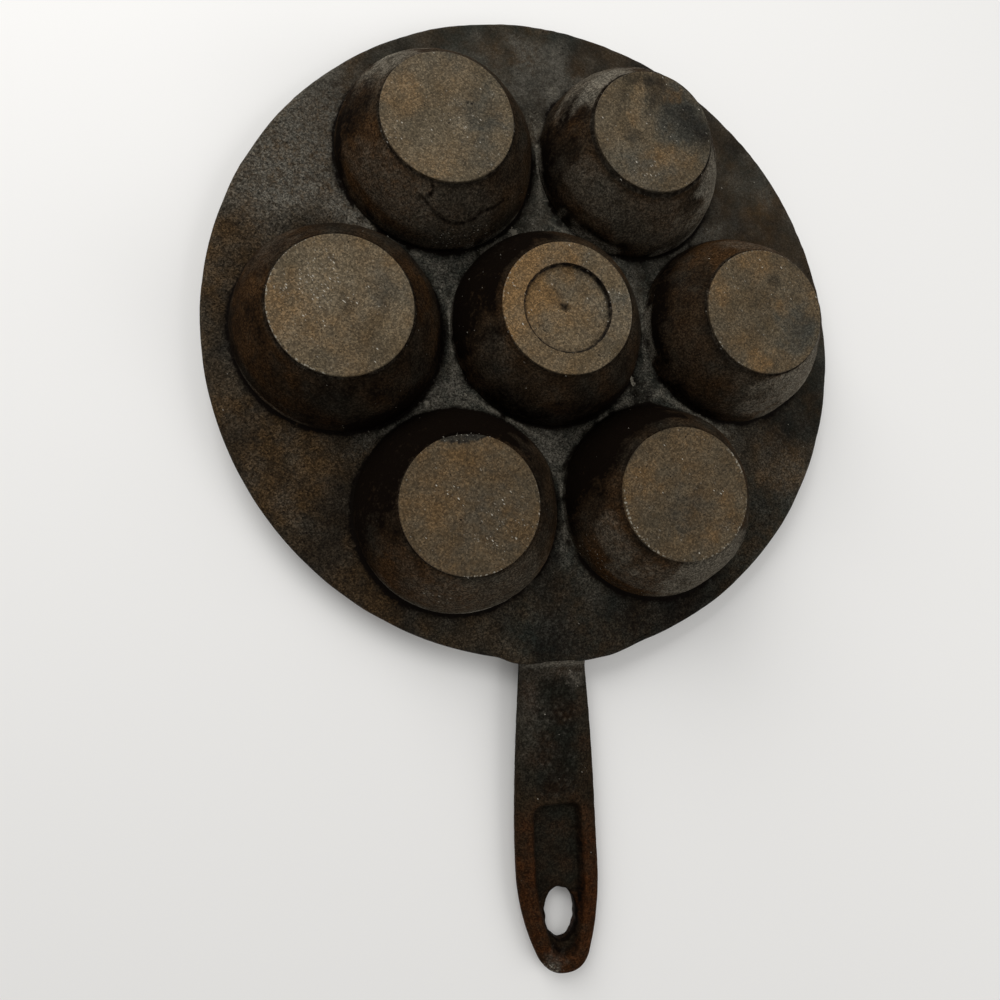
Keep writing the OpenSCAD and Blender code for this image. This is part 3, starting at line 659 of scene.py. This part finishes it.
def plate_masks(points):
    """Where the plate is sooty, rusty, worn, grey or glinting, and where shade and highlights are painted on it."""
    flat = points[:, :2]
    gaps = cup_gaps(flat)
    away = np.hypot(flat[:, 0], flat[:, 1])
    sheltered = 1 - smooth(away, *SHELTER)
    web, narrow = web_grey_and_highlight(flat)
    # Soot and painted shade in the crease round each cup
    crease = 1 - smooth(gaps[0], 0.3, 1.6 + 0.3 * waves(flat, 9, 37))
    nearest = np.argmin([np.linalg.norm(flat - c, axis=1) for c in CENTRES.values()], axis=0)
    beside = flat - np.array(list(CENTRES.values()))[nearest]
    # Painted shade at a cup's foot, wider on the side that looks to the handle
    shade = np.clip(0.5 - 0.6 * beside[:, 1] / BOWL_R, 0, 1) * (1 - smooth(gaps[0], 0.8, 3.6))
    masks = {
        "soot_and_shade": (crease + 0.5 * shade) * (1 - web) - 0.5 * web + 0.10 * waves(flat, 30, 31),
        "rust": 0.30 * (1 - sheltered) + 0.16 * waves(flat, 18, 32),
        "wear_and_sheen": 0.06 + 0.1 * waves(flat, 12, 33) + 0.35 * web + 0.28 * sheltered * (0.8 + 0.5 * waves(flat, 7, 38)),
        "grey": 0.9 * sheltered + 0.12 * waves(flat, 20, 34) + 0.5 * web,
        "glint": 0.002 + 0.02 * sheltered + 0.06 * web * narrow,
        # Painted highlight on the narrow webs deep between two cups
        "bare_and_highlight": web * (0.05 + 0.55 * narrow),
        "edge": 0.15 * web,
        "pit": 0.5 * web,
        "calm": 0.6 * smooth(flat[:, 1] - 0.6 * flat[:, 0], -10, 70),
        "dim": np.zeros(len(flat)),
    }
    for amount, start, end, width in PLATE_SCRATCHES:
        masks["edge"] = masks["edge"] + amount * streak(flat, start, end, width, 39)
    for mask, amount, x, y, spread in PLATE_MARKS:
        masks[mask] = masks[mask] + amount * blob(flat, (x, y), spread, 35)
    cooking = (points[:, 2] > UNDER_Z + 0.5) & (away < PLATE_R - RIM_W / 2) | (gaps[0] < -3)
    upper = cooking_side(points)
    return {mask: np.where(cooking, upper.get(mask, 0), values) for mask, values in masks.items()}


# The handle. Its points are (d, y) here: d runs from the middle of the pan towards the tip.

HANDLE_ROOT = BOSS_R - 1.6
HANDLE_SPACING = 0.55
BUMP_PITCH, BUMP_R, BUMP_H = 2.7, 1.05, 0.32


def side_radius(run, wide, narrow):
    return (run ** 2 + (wide - narrow) ** 2) / (2 * (wide - narrow))


ROOT_SIDE_R = side_radius(WIDE_D - BOSS_R, GRIP_W / 2, ROOT_W / 2)
TIP_RUN = TIP_C - WIDE_D
TIP_SIDE_R = (TIP_RUN ** 2 + GRIP_W ** 2 / 4 - TIP_R ** 2) / (GRIP_W - 2 * TIP_R)
TIP_TOUCH_D = TIP_C + TIP_RUN * TIP_R / (TIP_SIDE_R - TIP_R)


def half_width(d):
    root = GRIP_W / 2 - ROOT_SIDE_R + np.sqrt(np.maximum(0, ROOT_SIDE_R ** 2 - (WIDE_D - d) ** 2))
    side = GRIP_W / 2 - TIP_SIDE_R + np.sqrt(np.maximum(0, TIP_SIDE_R ** 2 - (d - WIDE_D) ** 2))
    tip = np.sqrt(np.maximum(0, TIP_R ** 2 - (d - TIP_C) ** 2))
    flare = 0.3 * (1 - smooth(d, BOSS_R - 1, BOSS_R + 3.5)) ** 2
    return np.where(d <= WIDE_D, root, np.where(d <= TIP_TOUCH_D, side, tip)) + flare


def lean(d):
    """How far the handle's middle line lies off the pan's middle line."""
    return TIP_LEAN * (np.maximum(0, d - SLOT_FROM) / (TIP_D - SLOT_FROM)) ** 2


def middle_z(d):
    return ROOT_LOW_Z + HANDLE_T / 2 + (d - BOSS_R) * math.tan(HANDLE_RISE)


def half_thickness(d):
    u = np.maximum(0, (d - TIP_D + TIP_ROUND) / TIP_ROUND)
    return HANDLE_T / 2 * np.sqrt(np.maximum(0, 1 - u * u))


def handle_skin_z(d, y, side):
    """Height of the plain handle above (side = 1) or below (side = -1) its middle."""
    share = np.clip(np.abs(y + lean(d)) / np.maximum(half_width(d), 1e-6), 0, 1)
    bulge = np.maximum(0, 1 - share ** SQUARENESS) ** (1 / SQUARENESS)
    u = np.clip((d - BOSS_R) / ROOT_SWEEP, 0, 1)
    sweep = (ROOT_LOW_Z - UNDER_Z) * (1 - np.sqrt(1 - (1 - u) ** 2)) if side < 0 else 0
    return middle_z(d) + side * (half_thickness(d) + sweep) * bulge


def leaned(outline):
    outline = np.array(outline)
    return outline - np.column_stack([np.zeros(len(outline)), lean(outline[:, 0])])


def slot_outline():
    near = SLOT_TO - SLOT_ROUND
    corner = SLOT_FROM + SLOT_CORNER
    wide = float(half_width(np.array(corner))) - RAIL_W
    half = [(SLOT_FROM, 0.0)]
    half += [(corner - SLOT_CORNER * math.cos(a), wide - SLOT_CORNER + SLOT_CORNER * math.sin(a))
             for a in np.radians(np.linspace(0, 90, 7))]
    half += [(d, float(half_width(np.array(d))) - RAIL_W) for d in np.linspace(corner, near, 20)[1:]]
    end = half[-1][1]
    half += [(near + SLOT_ROUND * math.sin(a), end * math.cos(a)) for a in np.radians(np.linspace(0, 90, 10))[1:]]
    return leaned(half + [(d, -y) for d, y in half[-2:0:-1]])


def panel_outline():
    half = PANEL_W / 2
    a, b = PANEL_FROM + PANEL_CORNER, PANEL_TO - PANEL_CORNER
    corners = [(a, 180, 270, -1), (b, 270, 360, -1), (b, 0, 90, 1), (a, 90, 180, 1)]
    return np.array([(c + PANEL_CORNER * math.cos(t), s * (half - PANEL_CORNER) + PANEL_CORNER * math.sin(t))
                     for c, start, end, s in corners for t in np.radians(np.linspace(start, end, 7))])


def egg_outline(grow, count=96):
    """The hanging hole's outline, moved out by grow: two half ovals that meet at its widest place."""
    turns = 2 * math.pi * np.arange(count) / count
    reach = np.where(np.cos(turns) > 0, HOLE_LEN - HOLE_NEAR, HOLE_NEAR) + grow
    points = leaned(np.column_stack([HOLE_D + reach * np.cos(turns), (HOLE_W / 2 + grow) * np.sin(turns)]))
    closed = np.vstack([points, points[:1]])
    path = np.concatenate([[0], np.cumsum(np.linalg.norm(np.diff(closed, axis=0), axis=1))])
    even = np.linspace(0, path[-1], count, endpoint=False)
    points = np.column_stack([np.interp(even, path, closed[:, k]) for k in (0, 1)])
    return points + 0.09 * np.column_stack([waves(points, 3.5, 41), waves(points, 3.5, 42)])


def handle_outline():
    sides = np.concatenate([np.arange(HANDLE_ROOT, TIP_TOUCH_D, 0.6)])
    start = math.asin((TIP_TOUCH_D - TIP_C) / TIP_R)
    tip = TIP_C + TIP_R * np.sin(np.linspace(start, math.pi / 2, 26))
    half = [(d, float(half_width(np.array(d)))) for d in np.concatenate([sides, tip[:-1]])]
    root = [(HANDLE_ROOT, y) for y in np.linspace(-half[0][1], half[0][1], 34)[1:-1]]
    return leaned(half + [(TIP_D, 0.0)] + [(d, -y) for d, y in half[::-1]] + root)


def handle_grid(outline):
    """Free points over the handle: lines along its length that draw together at the sides, and an even field."""
    stations = np.arange(HANDLE_ROOT + 0.5, TIP_D - 1.2, HANDLE_SPACING)
    shares = np.sin(np.radians(np.concatenate([np.arange(3, 60, 3), np.arange(60, 89, 4.2)])))
    shares = np.concatenate([-shares[::-1], [0], shares])
    grid = leaned([(d, s * float(half_width(np.array(d)))) for d in stations for s in shares])
    tip = outline[outline[:, 0] > TIP_TOUCH_D]
    heart = np.array([TIP_C, -lean(TIP_C)])
    grid = np.vstack([grid] + [heart + (tip - heart) * k for k in (0.99, 0.97, 0.94, 0.90)])
    keep = outline_distance(grid, outline) > 0.12
    keep &= outline_distance(grid, egg_outline(0)) < -1.15
    return grid[keep]


def handle_under(points, slot_away, panel_away, hole_away):
    """Height of the handle's underside with its recess, its stippled panel and the hole's soft edge."""
    d, y = points[:, 0], points[:, 1]
    skin = handle_skin_z(d, y, -1)
    flat = ROOT_LOW_Z + (d - BOSS_R) * math.tan(HANDLE_RISE)
    deep = smooth(slot_away, -0.9, 0.9)
    z = skin + (flat + SLOT_DEPTH - skin) * deep
    z += np.maximum(0, flat + PANEL_DEPTH - skin) * smooth(panel_away, -1.2, 1.0) * (1 - deep)
    z -= bumps(points) * smooth(panel_away, 0.2, 1.6)
    z -= deep * 0.12 * waves(points, 3.2, 43)
    z += 0.45 * (1 - smooth(hole_away, 0, 0.8)) ** 2
    return z + 0.05 * waves(points, 7, 44) * smooth(TIP_D - d, 0.5, 4)


def bumps(points):
    """Low round bumps in slanting rows."""
    rng = np.random.default_rng(7)
    height = np.zeros(len(points))
    for row in range(int((PANEL_TO - PANEL_FROM) / (BUMP_PITCH * 0.866)) + 1):
        for column in range(-3, 4):
            centre = np.array([PANEL_FROM + row * BUMP_PITCH * 0.866, (column + 0.5 * (row % 2)) * BUMP_PITCH])
            centre += rng.uniform(-0.5, 0.5, 2)
            size = BUMP_H * rng.uniform(0.35, 1.2)
            away = np.linalg.norm(points - centre, axis=1) / BUMP_R
            height = np.maximum(height, size * np.maximum(0, 1 - away ** 2))
    return height


def make_handle(materials):
    skin = Skin()
    outline = handle_outline()
    hole_rings = [egg_outline(grow) for grow in (0, 0.12, 0.32, 0.65)]
    loose = np.vstack([handle_grid(outline)] + hole_rings[1:])
    slot, panel = slot_outline(), panel_outline()

    def under(points):
        return handle_under(points, outline_distance(points, slot), outline_distance(points, panel),
                            -outline_distance(points, hole_rings[0]))

    def top(points):
        hole_away = -outline_distance(points, hole_rings[0])
        return handle_skin_z(points[:, 0], points[:, 1], 1) - 0.45 * (1 - smooth(hole_away, 0, 0.8)) ** 2

    rim = skin.add(np.column_stack([outline, middle_z(outline[:, 0])]))
    edge = hole_rings[0]
    low_edge = skin.add(np.column_stack([edge, under(edge)]))
    high_edge = skin.add(np.column_stack([edge, top(edge)]))
    middle_edge = skin.add(np.column_stack([edge * 1.0, (under(edge) + top(edge)) / 2]))
    skin.bridge(low_edge, middle_edge)
    skin.bridge(middle_edge, high_edge)
    skin.patch(rim, [low_edge], loose, under(loose))
    skin.patch(rim, [high_edge], loose, top(loose))
    flat = np.array(skin.points)
    masks = handle_masks(flat, slot, panel, hole_rings[0])
    points = np.column_stack([flat[:, 1], -flat[:, 0], flat[:, 2]])
    return write_piece("handle", skin, points, materials, masks)


def handle_masks(points, slot, panel, hole):
    d, y = points[:, 0], points[:, 1]
    flat = points[:, :2]
    low = points[:, 2] < middle_z(d)
    slot_away = outline_distance(flat, slot)
    in_slot = smooth(slot_away, -0.3, 0.8) * low
    slot_wall = smooth(slot_away, -0.9, -0.2) * (1 - smooth(slot_away, 0.7, 1.6)) * low
    # Painted shade on the recess's walls, darker on the side that the tip leans to
    shaded = smooth(-(y + lean(d)), 0, 4)
    at_hole = 1 - smooth(np.abs(outline_distance(flat, hole)), 0.1, 0.55)
    in_panel = smooth(outline_distance(flat, panel), -1.5, 1.0) * low
    bump = smooth(bumps(flat), 0.25 * BUMP_H, 0.8 * BUMP_H) * in_panel
    rails = smooth(d, 148, 180) * (1 - in_slot)
    seam = low * (1 - smooth(d, BOSS_R + 0.1, BOSS_R + 1.2))
    return {
        "soot_and_shade": (0.35 + 0.3 * shaded) * slot_wall + 0.25 * in_slot + 0.4 * (in_panel - bump) + 0.9 * at_hole
                + 0.1 * waves(flat, 14, 53) - 0.3 * seam + 0.5 * blob(flat, (205, 1), 6, 60) * in_slot,
        "rust": 0.15 + 0.85 * rails + 0.1 * waves(flat, 12, 51) + 0.9 * blob(flat, (190, -6.5), 7, 57) * low,
        "wear_and_sheen": 0.38 * (1 - smooth(d, 112, 120)) + 0.12 * (1 - smooth(d, 118, 150)) * (1 - in_panel) + 0.25 * bump
                + 0.5 * blob(flat, (206, 2.0), 4.5, 54) + 0.7 * blob(flat, (117, -7), 4, 55) + 0.7 * seam
                + 0.4 * blob(flat, (209, 3), 4, 58) + 0.3 * blob(flat, (127, 9.5), 12, 61) * low
                + 0.1 * blob(flat, (142, 10), 12, 64) * low,
        "grey": 0.9 * in_panel + 0.5 * (1 - smooth(d, 120, 165)) + 0.8 * in_slot * (1 - smooth(d, 176, 192)),
        "glint": 0.004 + 0.3 * blob(flat, (208, 3), 5, 56) + 0.15 * blob(flat, (117, -7), 6, 59)
                 + 0.9 * blob(flat, (146, -9), 1.5, 63),
        "bare_and_highlight": 0.12 * seam,
        "edge": 0.4 * blob(flat, (209, 3.2), 3, 62),
    }


# Materials

class Graph:
    """Short ways to add nodes to a material or a world."""

    def __init__(self, tree):
        self.tree = tree

    def add(self, kind, inputs=None, **settings):
        node = self.tree.nodes.new(kind)
        for key, value in settings.items():
            setattr(node, key, value)
        for key, value in (inputs or {}).items():
            if isinstance(value, bpy.types.NodeSocket):
                self.tree.links.new(value, node.inputs[key])
            else:
                node.inputs[key].default_value = value
        return node

    def sum(self, operation, a, b, clamp=False):
        return self.add("ShaderNodeMath", {0: a, 1: b}, operation=operation, use_clamp=clamp).outputs[0]

    def span(self, value, low, high, to_low=0.0, to_high=1.0):
        """Moves a value from one range to another and stops it at the ends."""
        node = self.add("ShaderNodeMapRange", {"Value": value, "From Min": low, "From Max": high,
                                               "To Min": to_low, "To Max": to_high})
        return node.outputs["Result"]

    def blend(self, share, a, b, way="MIX"):
        node = self.add("ShaderNodeMix", {0: share, 6: a, 7: b}, data_type="RGBA", blend_type=way)
        return node.outputs[2]

    def noise(self, place, size, detail=2.0, roughness=0.5):
        """Noise whose features are about size millimetres long."""
        node = self.add("ShaderNodeTexNoise", {"Vector": place, "Scale": 1 / size, "Detail": detail,
                                               "Roughness": roughness})
        return node.outputs["Fac"]

    def sand(self, place, size):
        """Fine grains, each of its own brightness, over a coarser noise."""
        cells = self.add("ShaderNodeTexVoronoi", {"Vector": self.stir(place, size, size), "Scale": 1 / size})
        grains = self.add("ShaderNodeSeparateColor", {"Color": cells.outputs["Color"]}).outputs[0]
        coarse = self.span(self.noise(place, 2.2 * size, 4, 0.8), 0.25, 0.75)
        # Squared, so that few grains are bright
        grains = self.sum("MULTIPLY", grains, grains)
        return self.sum("ADD", self.sum("MULTIPLY", grains, 0.6), self.sum("MULTIPLY", coarse, 0.5))

    def stir(self, place, size, reach):
        """The place, moved about by up to half of reach in millimetres."""
        shift = self.add("ShaderNodeTexNoise", {"Vector": place, "Scale": 1 / size, "Detail": 2.0}).outputs["Color"]
        shift = self.add("ShaderNodeVectorMath", {0: shift, 1: (0.5, 0.5, 0.5)}, operation="SUBTRACT").outputs[0]
        shift = self.add("ShaderNodeVectorMath", {0: shift, "Scale": reach}, operation="SCALE").outputs[0]
        return self.add("ShaderNodeVectorMath", {0: place, 1: shift}, operation="ADD").outputs[0]

    def pits(self, place, pitch, radius, share):
        """Round spots of mixed sizes and strengths in some cells of a loose grid: up to 1 in a spot, 0 outside."""
        cells = self.add("ShaderNodeTexVoronoi", {"Vector": place, "Scale": 1 / pitch})
        split = self.add("ShaderNodeSeparateColor", {"Color": cells.outputs["Color"]})
        size = self.span(split.outputs[1], 0, 1, 0.3 * radius / pitch, radius / pitch)
        near = self.span(self.sum("DIVIDE", cells.outputs["Distance"], size), 0.5, 1.0, 1.0, 0.0)
        chosen = self.sum("LESS_THAN", split.outputs[0], share)
        strength = self.span(split.outputs[2], 0, 1, 0.25, 1.0)
        return self.sum("MULTIPLY", self.sum("MULTIPLY", near, strength), chosen)

    def specks(self, place, share):
        """Tiny bright specks and short scratches in a share of the cells of a fine grid."""
        turned = self.add("ShaderNodeVectorRotate", {"Vector": place, "Angle": SCRATCH_WAY}, rotation_type="Z_AXIS")
        drawn = self.add("ShaderNodeVectorMath", {0: turned.outputs[0], 1: (0.5, 1.0, 1.0)}, operation="MULTIPLY")
        return self.pits(self.stir(drawn.outputs[0], 0.4, 0.5), 0.6, 0.24, share)

    def mask(self, name):
        return self.add("ShaderNodeAttribute", attribute_name=name).outputs["Fac"]


# Linear colours: black for soot, pits and painted shade; glinting specks; bare metal, also used for painted highlights
SOOT_AND_SHADE = (0.0034, 0.0021, 0.0013, 1)
GLINT = (0.42, 0.385, 0.32, 1)
BARE_AND_HIGHLIGHT = (0.26, 0.235, 0.185, 1)
SCRATCH_WAY = math.radians(-45)


def iron(name, dark, light, rust, worn_and_sheen, grey, grain=(0.3, 1.9), grain_size=0.42, rough=(0.5, 0.75), specular=0.2,
         bump=0.2, pits=0.0):
    """Cast iron: a cloudy base colour, tinted by the masks, under a sand grain that also lifts the surface.

    grain is the range of brightness over the grain, and bump its height in millimetres.
    """
    material = bpy.data.materials.new(name)
    material.use_nodes = True
    graph = Graph(material.node_tree)
    shader = material.node_tree.nodes["Principled BSDF"]
    shader.inputs["Specular IOR Level"].default_value = specular
    place = graph.add("ShaderNodeTexCoord").outputs["Object"]
    place = graph.add("ShaderNodeVectorMath", {0: place, "Scale": 1 / MM}, operation="SCALE").outputs[0]

    cloud = graph.span(graph.noise(place, 17, 4, 0.6), 0.35, 0.65)
    colour = graph.blend(cloud, dark, light)
    blotch = graph.noise(place, 4.5, 4, 0.65)
    fleck = graph.noise(place, 1.6, 3, 0.7)
    grey_share = graph.sum("MULTIPLY", graph.mask("grey"), graph.span(blotch, 0.35, 0.6, 0.4, 1.0), True)
    colour = graph.blend(grey_share, colour, grey)
    rust_share = graph.sum("MULTIPLY", graph.mask("rust"), graph.span(blotch, 0.62, 0.38, 0.45, 1.0), True)
    colour = graph.blend(rust_share, colour, rust)
    # The wear mask holds real wear and also painted sheen on lit walls, on the webs and on the plate's upper side
    wear_and_sheen_share = graph.sum("MULTIPLY", graph.mask("wear_and_sheen"), graph.span(fleck, 0.35, 0.6, 0.35, 1.0), True)
    colour = graph.blend(wear_and_sheen_share, colour, worn_and_sheen)

    sand = graph.sand(place, grain_size)
    tone = graph.span(sand, 0.1, 0.9, grain[0], grain[1])
    calm = graph.sum("MULTIPLY", graph.sum("SUBTRACT", tone, 1.0), graph.mask("calm"))
    tone = graph.sum("SUBTRACT", tone, calm)
    tone = graph.sum("MULTIPLY", tone, graph.sum("SUBTRACT", 1.0, graph.mask("dim")))
    tone = graph.add("ShaderNodeCombineColor", {"Red": tone, "Green": tone, "Blue": tone}).outputs[0]
    colour = graph.blend(1.0, colour, tone, "MULTIPLY")
    # The soot mask holds real soot and also painted shade in creases, valleys and on walls turned from the light
    soot_and_shade_share = graph.sum("MULTIPLY", graph.mask("soot_and_shade"), graph.span(fleck, 0.65, 0.4, 0.6, 1.15), True)
    colour = graph.blend(soot_and_shade_share, colour, SOOT_AND_SHADE)
    if pits:
        dented = graph.pits(graph.stir(place, 0.9, 1.2), 1.2, 0.42, graph.sum("ADD", graph.mask("pit"), pits))
        colour = graph.blend(graph.sum("MULTIPLY", dented, 0.9), colour, SOOT_AND_SHADE)
    # The bare mask holds bare metal and also painted highlights on the webs, along the walls' base edges and on lit
    # crescents
    bare_and_highlight_share = graph.sum("MULTIPLY", graph.mask("bare_and_highlight"), graph.span(sand, 0.3, 0.7, 0.3, 1.2), True)
    colour = graph.blend(bare_and_highlight_share, colour, BARE_AND_HIGHLIGHT)
    colour = graph.blend(graph.specks(place, graph.mask("glint")), colour, GLINT)
    # The edge mask paints bare metal, and painted highlights along the walls' base edges and the webs; where it is
    # weak, only the grain's highest spots take that colour
    high_spots = graph.span(graph.noise(place, 0.8, 3), 0.36, 0.64)
    bead = graph.sum("SUBTRACT", graph.sum("ADD", graph.mask("edge"), high_spots), 1.0)
    colour = graph.blend(graph.sum("MULTIPLY", bead, 3.0, True), colour, BARE_AND_HIGHLIGHT)
    material.node_tree.links.new(colour, shader.inputs["Base Color"])
    material.node_tree.links.new(graph.span(sand, 0.2, 0.8, rough[1], rough[0]), shader.inputs["Roughness"])

    height = graph.sum("ADD", sand, graph.sum("MULTIPLY", graph.noise(place, 3.4, 2), 0.8))
    if pits:
        height = graph.sum("SUBTRACT", height, dented)
    lift = graph.add("ShaderNodeBump", {"Height": height, "Distance": bump * MM, "Strength": 1.0})
    material.node_tree.links.new(lift.outputs[0], shader.inputs["Normal"])
    return material


def make_materials():
    under = iron("plate_underside", (0.014, 0.0125, 0.0098, 1), (0.030, 0.0243, 0.0168, 1), (0.048, 0.029, 0.013, 1),
                 (0.078, 0.071, 0.057, 1), (0.0175, 0.020, 0.0165, 1), grain=(0.15, 2.35), grain_size=0.42,
                 rough=(0.65, 0.85), specular=0.03, bump=0.4, pits=0.35)
    wall = iron("cup_wall", (0.0125, 0.009, 0.0056, 1), (0.024, 0.0165, 0.0098, 1), (0.033, 0.017, 0.007, 1),
                (0.085, 0.073, 0.055, 1), (0.021, 0.0195, 0.015, 1), grain=(0.25, 2.2), grain_size=0.42, rough=(0.75, 0.95),
                specular=0.01, bump=0.15)
    foot = iron("ground_foot", (0.058, 0.043, 0.0235, 1), (0.084, 0.061, 0.034, 1), (0.140, 0.084, 0.036, 1),
                (0.127, 0.100, 0.064, 1), (0.062, 0.058, 0.045, 1), grain=(0.4, 1.82), grain_size=0.42,
                rough=(0.5, 0.75), specular=0.06, bump=0.08, pits=0.12)
    grip = iron("handle_iron_skin", (0.0095, 0.008, 0.0052, 1), (0.0165, 0.0125, 0.0075, 1), (0.033, 0.012, 0.004, 1),
                (0.060, 0.053, 0.042, 1), (0.0115, 0.012, 0.009, 1), grain=(0.3, 2.05), grain_size=0.42, rough=(0.65, 0.85),
                specular=0.012, bump=0.12)
    seasoned = iron("seasoned_iron", (0.016, 0.014, 0.012, 1), (0.026, 0.022, 0.018, 1), (0.040, 0.024, 0.014, 1),
                    (0.050, 0.044, 0.037, 1), (0.024, 0.023, 0.021, 1), grain=(0.7, 1.35),
                    rough=(0.32, 0.5), specular=0.3, bump=0.05)
    return under, wall, foot, grip, seasoned


# Stage, lamps and camera

TABLE_COLOUR = (0.86, 0.85, 0.83, 1)
FLOOR_COLOUR = (0.86, 0.86, 0.86, 1)
TABLE_TILT = math.atan2(2.35, 317)


def one_sided(name, colour):
    """A matt sheet that shows from its front only, so that the camera can look at the pan through its back."""
    material = bpy.data.materials.new(name)
    material.use_nodes = True
    tree = material.node_tree
    graph = Graph(tree)
    tree.nodes.remove(tree.nodes["Principled BSDF"])
    matt = graph.add("ShaderNodeBsdfDiffuse", {"Color": colour})
    clear = graph.add("ShaderNodeBsdfTransparent")
    back = graph.add("ShaderNodeNewGeometry").outputs["Backfacing"]
    both = graph.add("ShaderNodeMixShader", {0: back, 1: matt.outputs[0], 2: clear.outputs[0]})
    tree.links.new(both.outputs[0], tree.nodes["Material Output"].inputs["Surface"])
    return material


def sheet(name, half, z, tilt, colour, down):
    """A flat square of the stage. down turns its front to the ground."""
    corners = [(-half, -half), (half, -half), (half, half), (-half, half)]
    if down:
        corners = corners[::-1]
    mesh = bpy.data.meshes.new(name)
    mesh.from_pydata([(x, y, z - y * math.tan(tilt)) for x, y in corners], [], [(0, 1, 2, 3)])
    mesh.materials.append(one_sided(name + "_matt", colour))
    thing = bpy.data.objects.new(name, mesh)
    bpy.context.scene.collection.objects.link(thing)
    thing.visible_diffuse = False
    thing.visible_glossy = False
    thing.visible_transmission = False
    thing.visible_shadow = False


def lamp(name, place, aim, watts, size):
    data = bpy.data.lights.new(name, "AREA")
    data.energy = watts
    data.size = size
    thing = bpy.data.objects.new(name, data)
    thing.location = place
    thing.rotation_euler = (Vector(aim) - Vector(place)).to_track_quat("-Z", "Y").to_euler()
    bpy.context.scene.collection.objects.link(thing)


def make_stage():
    sheet("table", 0.36, (RIM_TOP + 0.8) * MM, TABLE_TILT, TABLE_COLOUR, True)
    sheet("floor", 8.0, -0.0002, 0.0, FLOOR_COLOUR, False)
    # The photograph's side, below the pan
    lamp("side_light", (-0.60, -0.24, -0.52), (0, 0, 0), 2.1, 0.6)
    lamp("far_light", (0.38, 0.60, -0.52), (0, 0, 0), 6.9, 0.7)
    # The side that is up in use
    lamp("key_light", (0.5, -0.45, 0.8), (0, 0, 0), 2.4, 0.6)
    lamp("fill_light", (-0.6, 0.3, 0.6), (0, 0, 0), 1.0, 0.8)
    world = bpy.data.worlds.new("room")
    world.use_nodes = True
    bpy.context.scene.world = world
    graph = Graph(world.node_tree)
    path = graph.add("ShaderNodeLightPath").outputs
    seen = graph.sum("MAXIMUM", path["Is Camera Ray"], path["Is Glossy Ray"])
    seen = graph.sum("MAXIMUM", seen, path["Is Transmission Ray"])
    background = world.node_tree.nodes["Background"]
    background.inputs["Color"].default_value = (1, 1, 1, 1)
    world.node_tree.links.new(graph.span(seen, 0, 1, 0.4, 1.0), background.inputs["Strength"])


# Where the photograph was taken from, found from the plate's edge, the feet and the handle
CAMERA_PLACE = (71.8, -76.6, -202.6)
CAMERA_TURN = (-174.956, 13.425, -178.562)
CAMERA_FOCUS_PX, FRAME_PX, SENSOR_MM = 712.3, 1000, 36.0


def make_camera():
    data = bpy.data.cameras.new("photo_camera")
    data.sensor_width = SENSOR_MM
    data.lens = CAMERA_FOCUS_PX / FRAME_PX * SENSOR_MM
    data.clip_start = 0.005
    camera = bpy.data.objects.new("photo_camera", data)
    camera.location = Vector(CAMERA_PLACE) * MM
    camera.rotation_euler = Euler([math.radians(a) for a in CAMERA_TURN], "XYZ")
    bpy.context.scene.collection.objects.link(camera)
    bpy.context.scene.camera = camera


def main():
    make_camera()
    make_stage()
    under, wall, foot, grip, seasoned = make_materials()
    make_plate([under, seasoned])
    for name in CUPS:
        make_cup(name, [wall, foot, seasoned])
    make_handle([grip])
    bpy.context.scene.view_settings.view_transform = "Standard"


main()
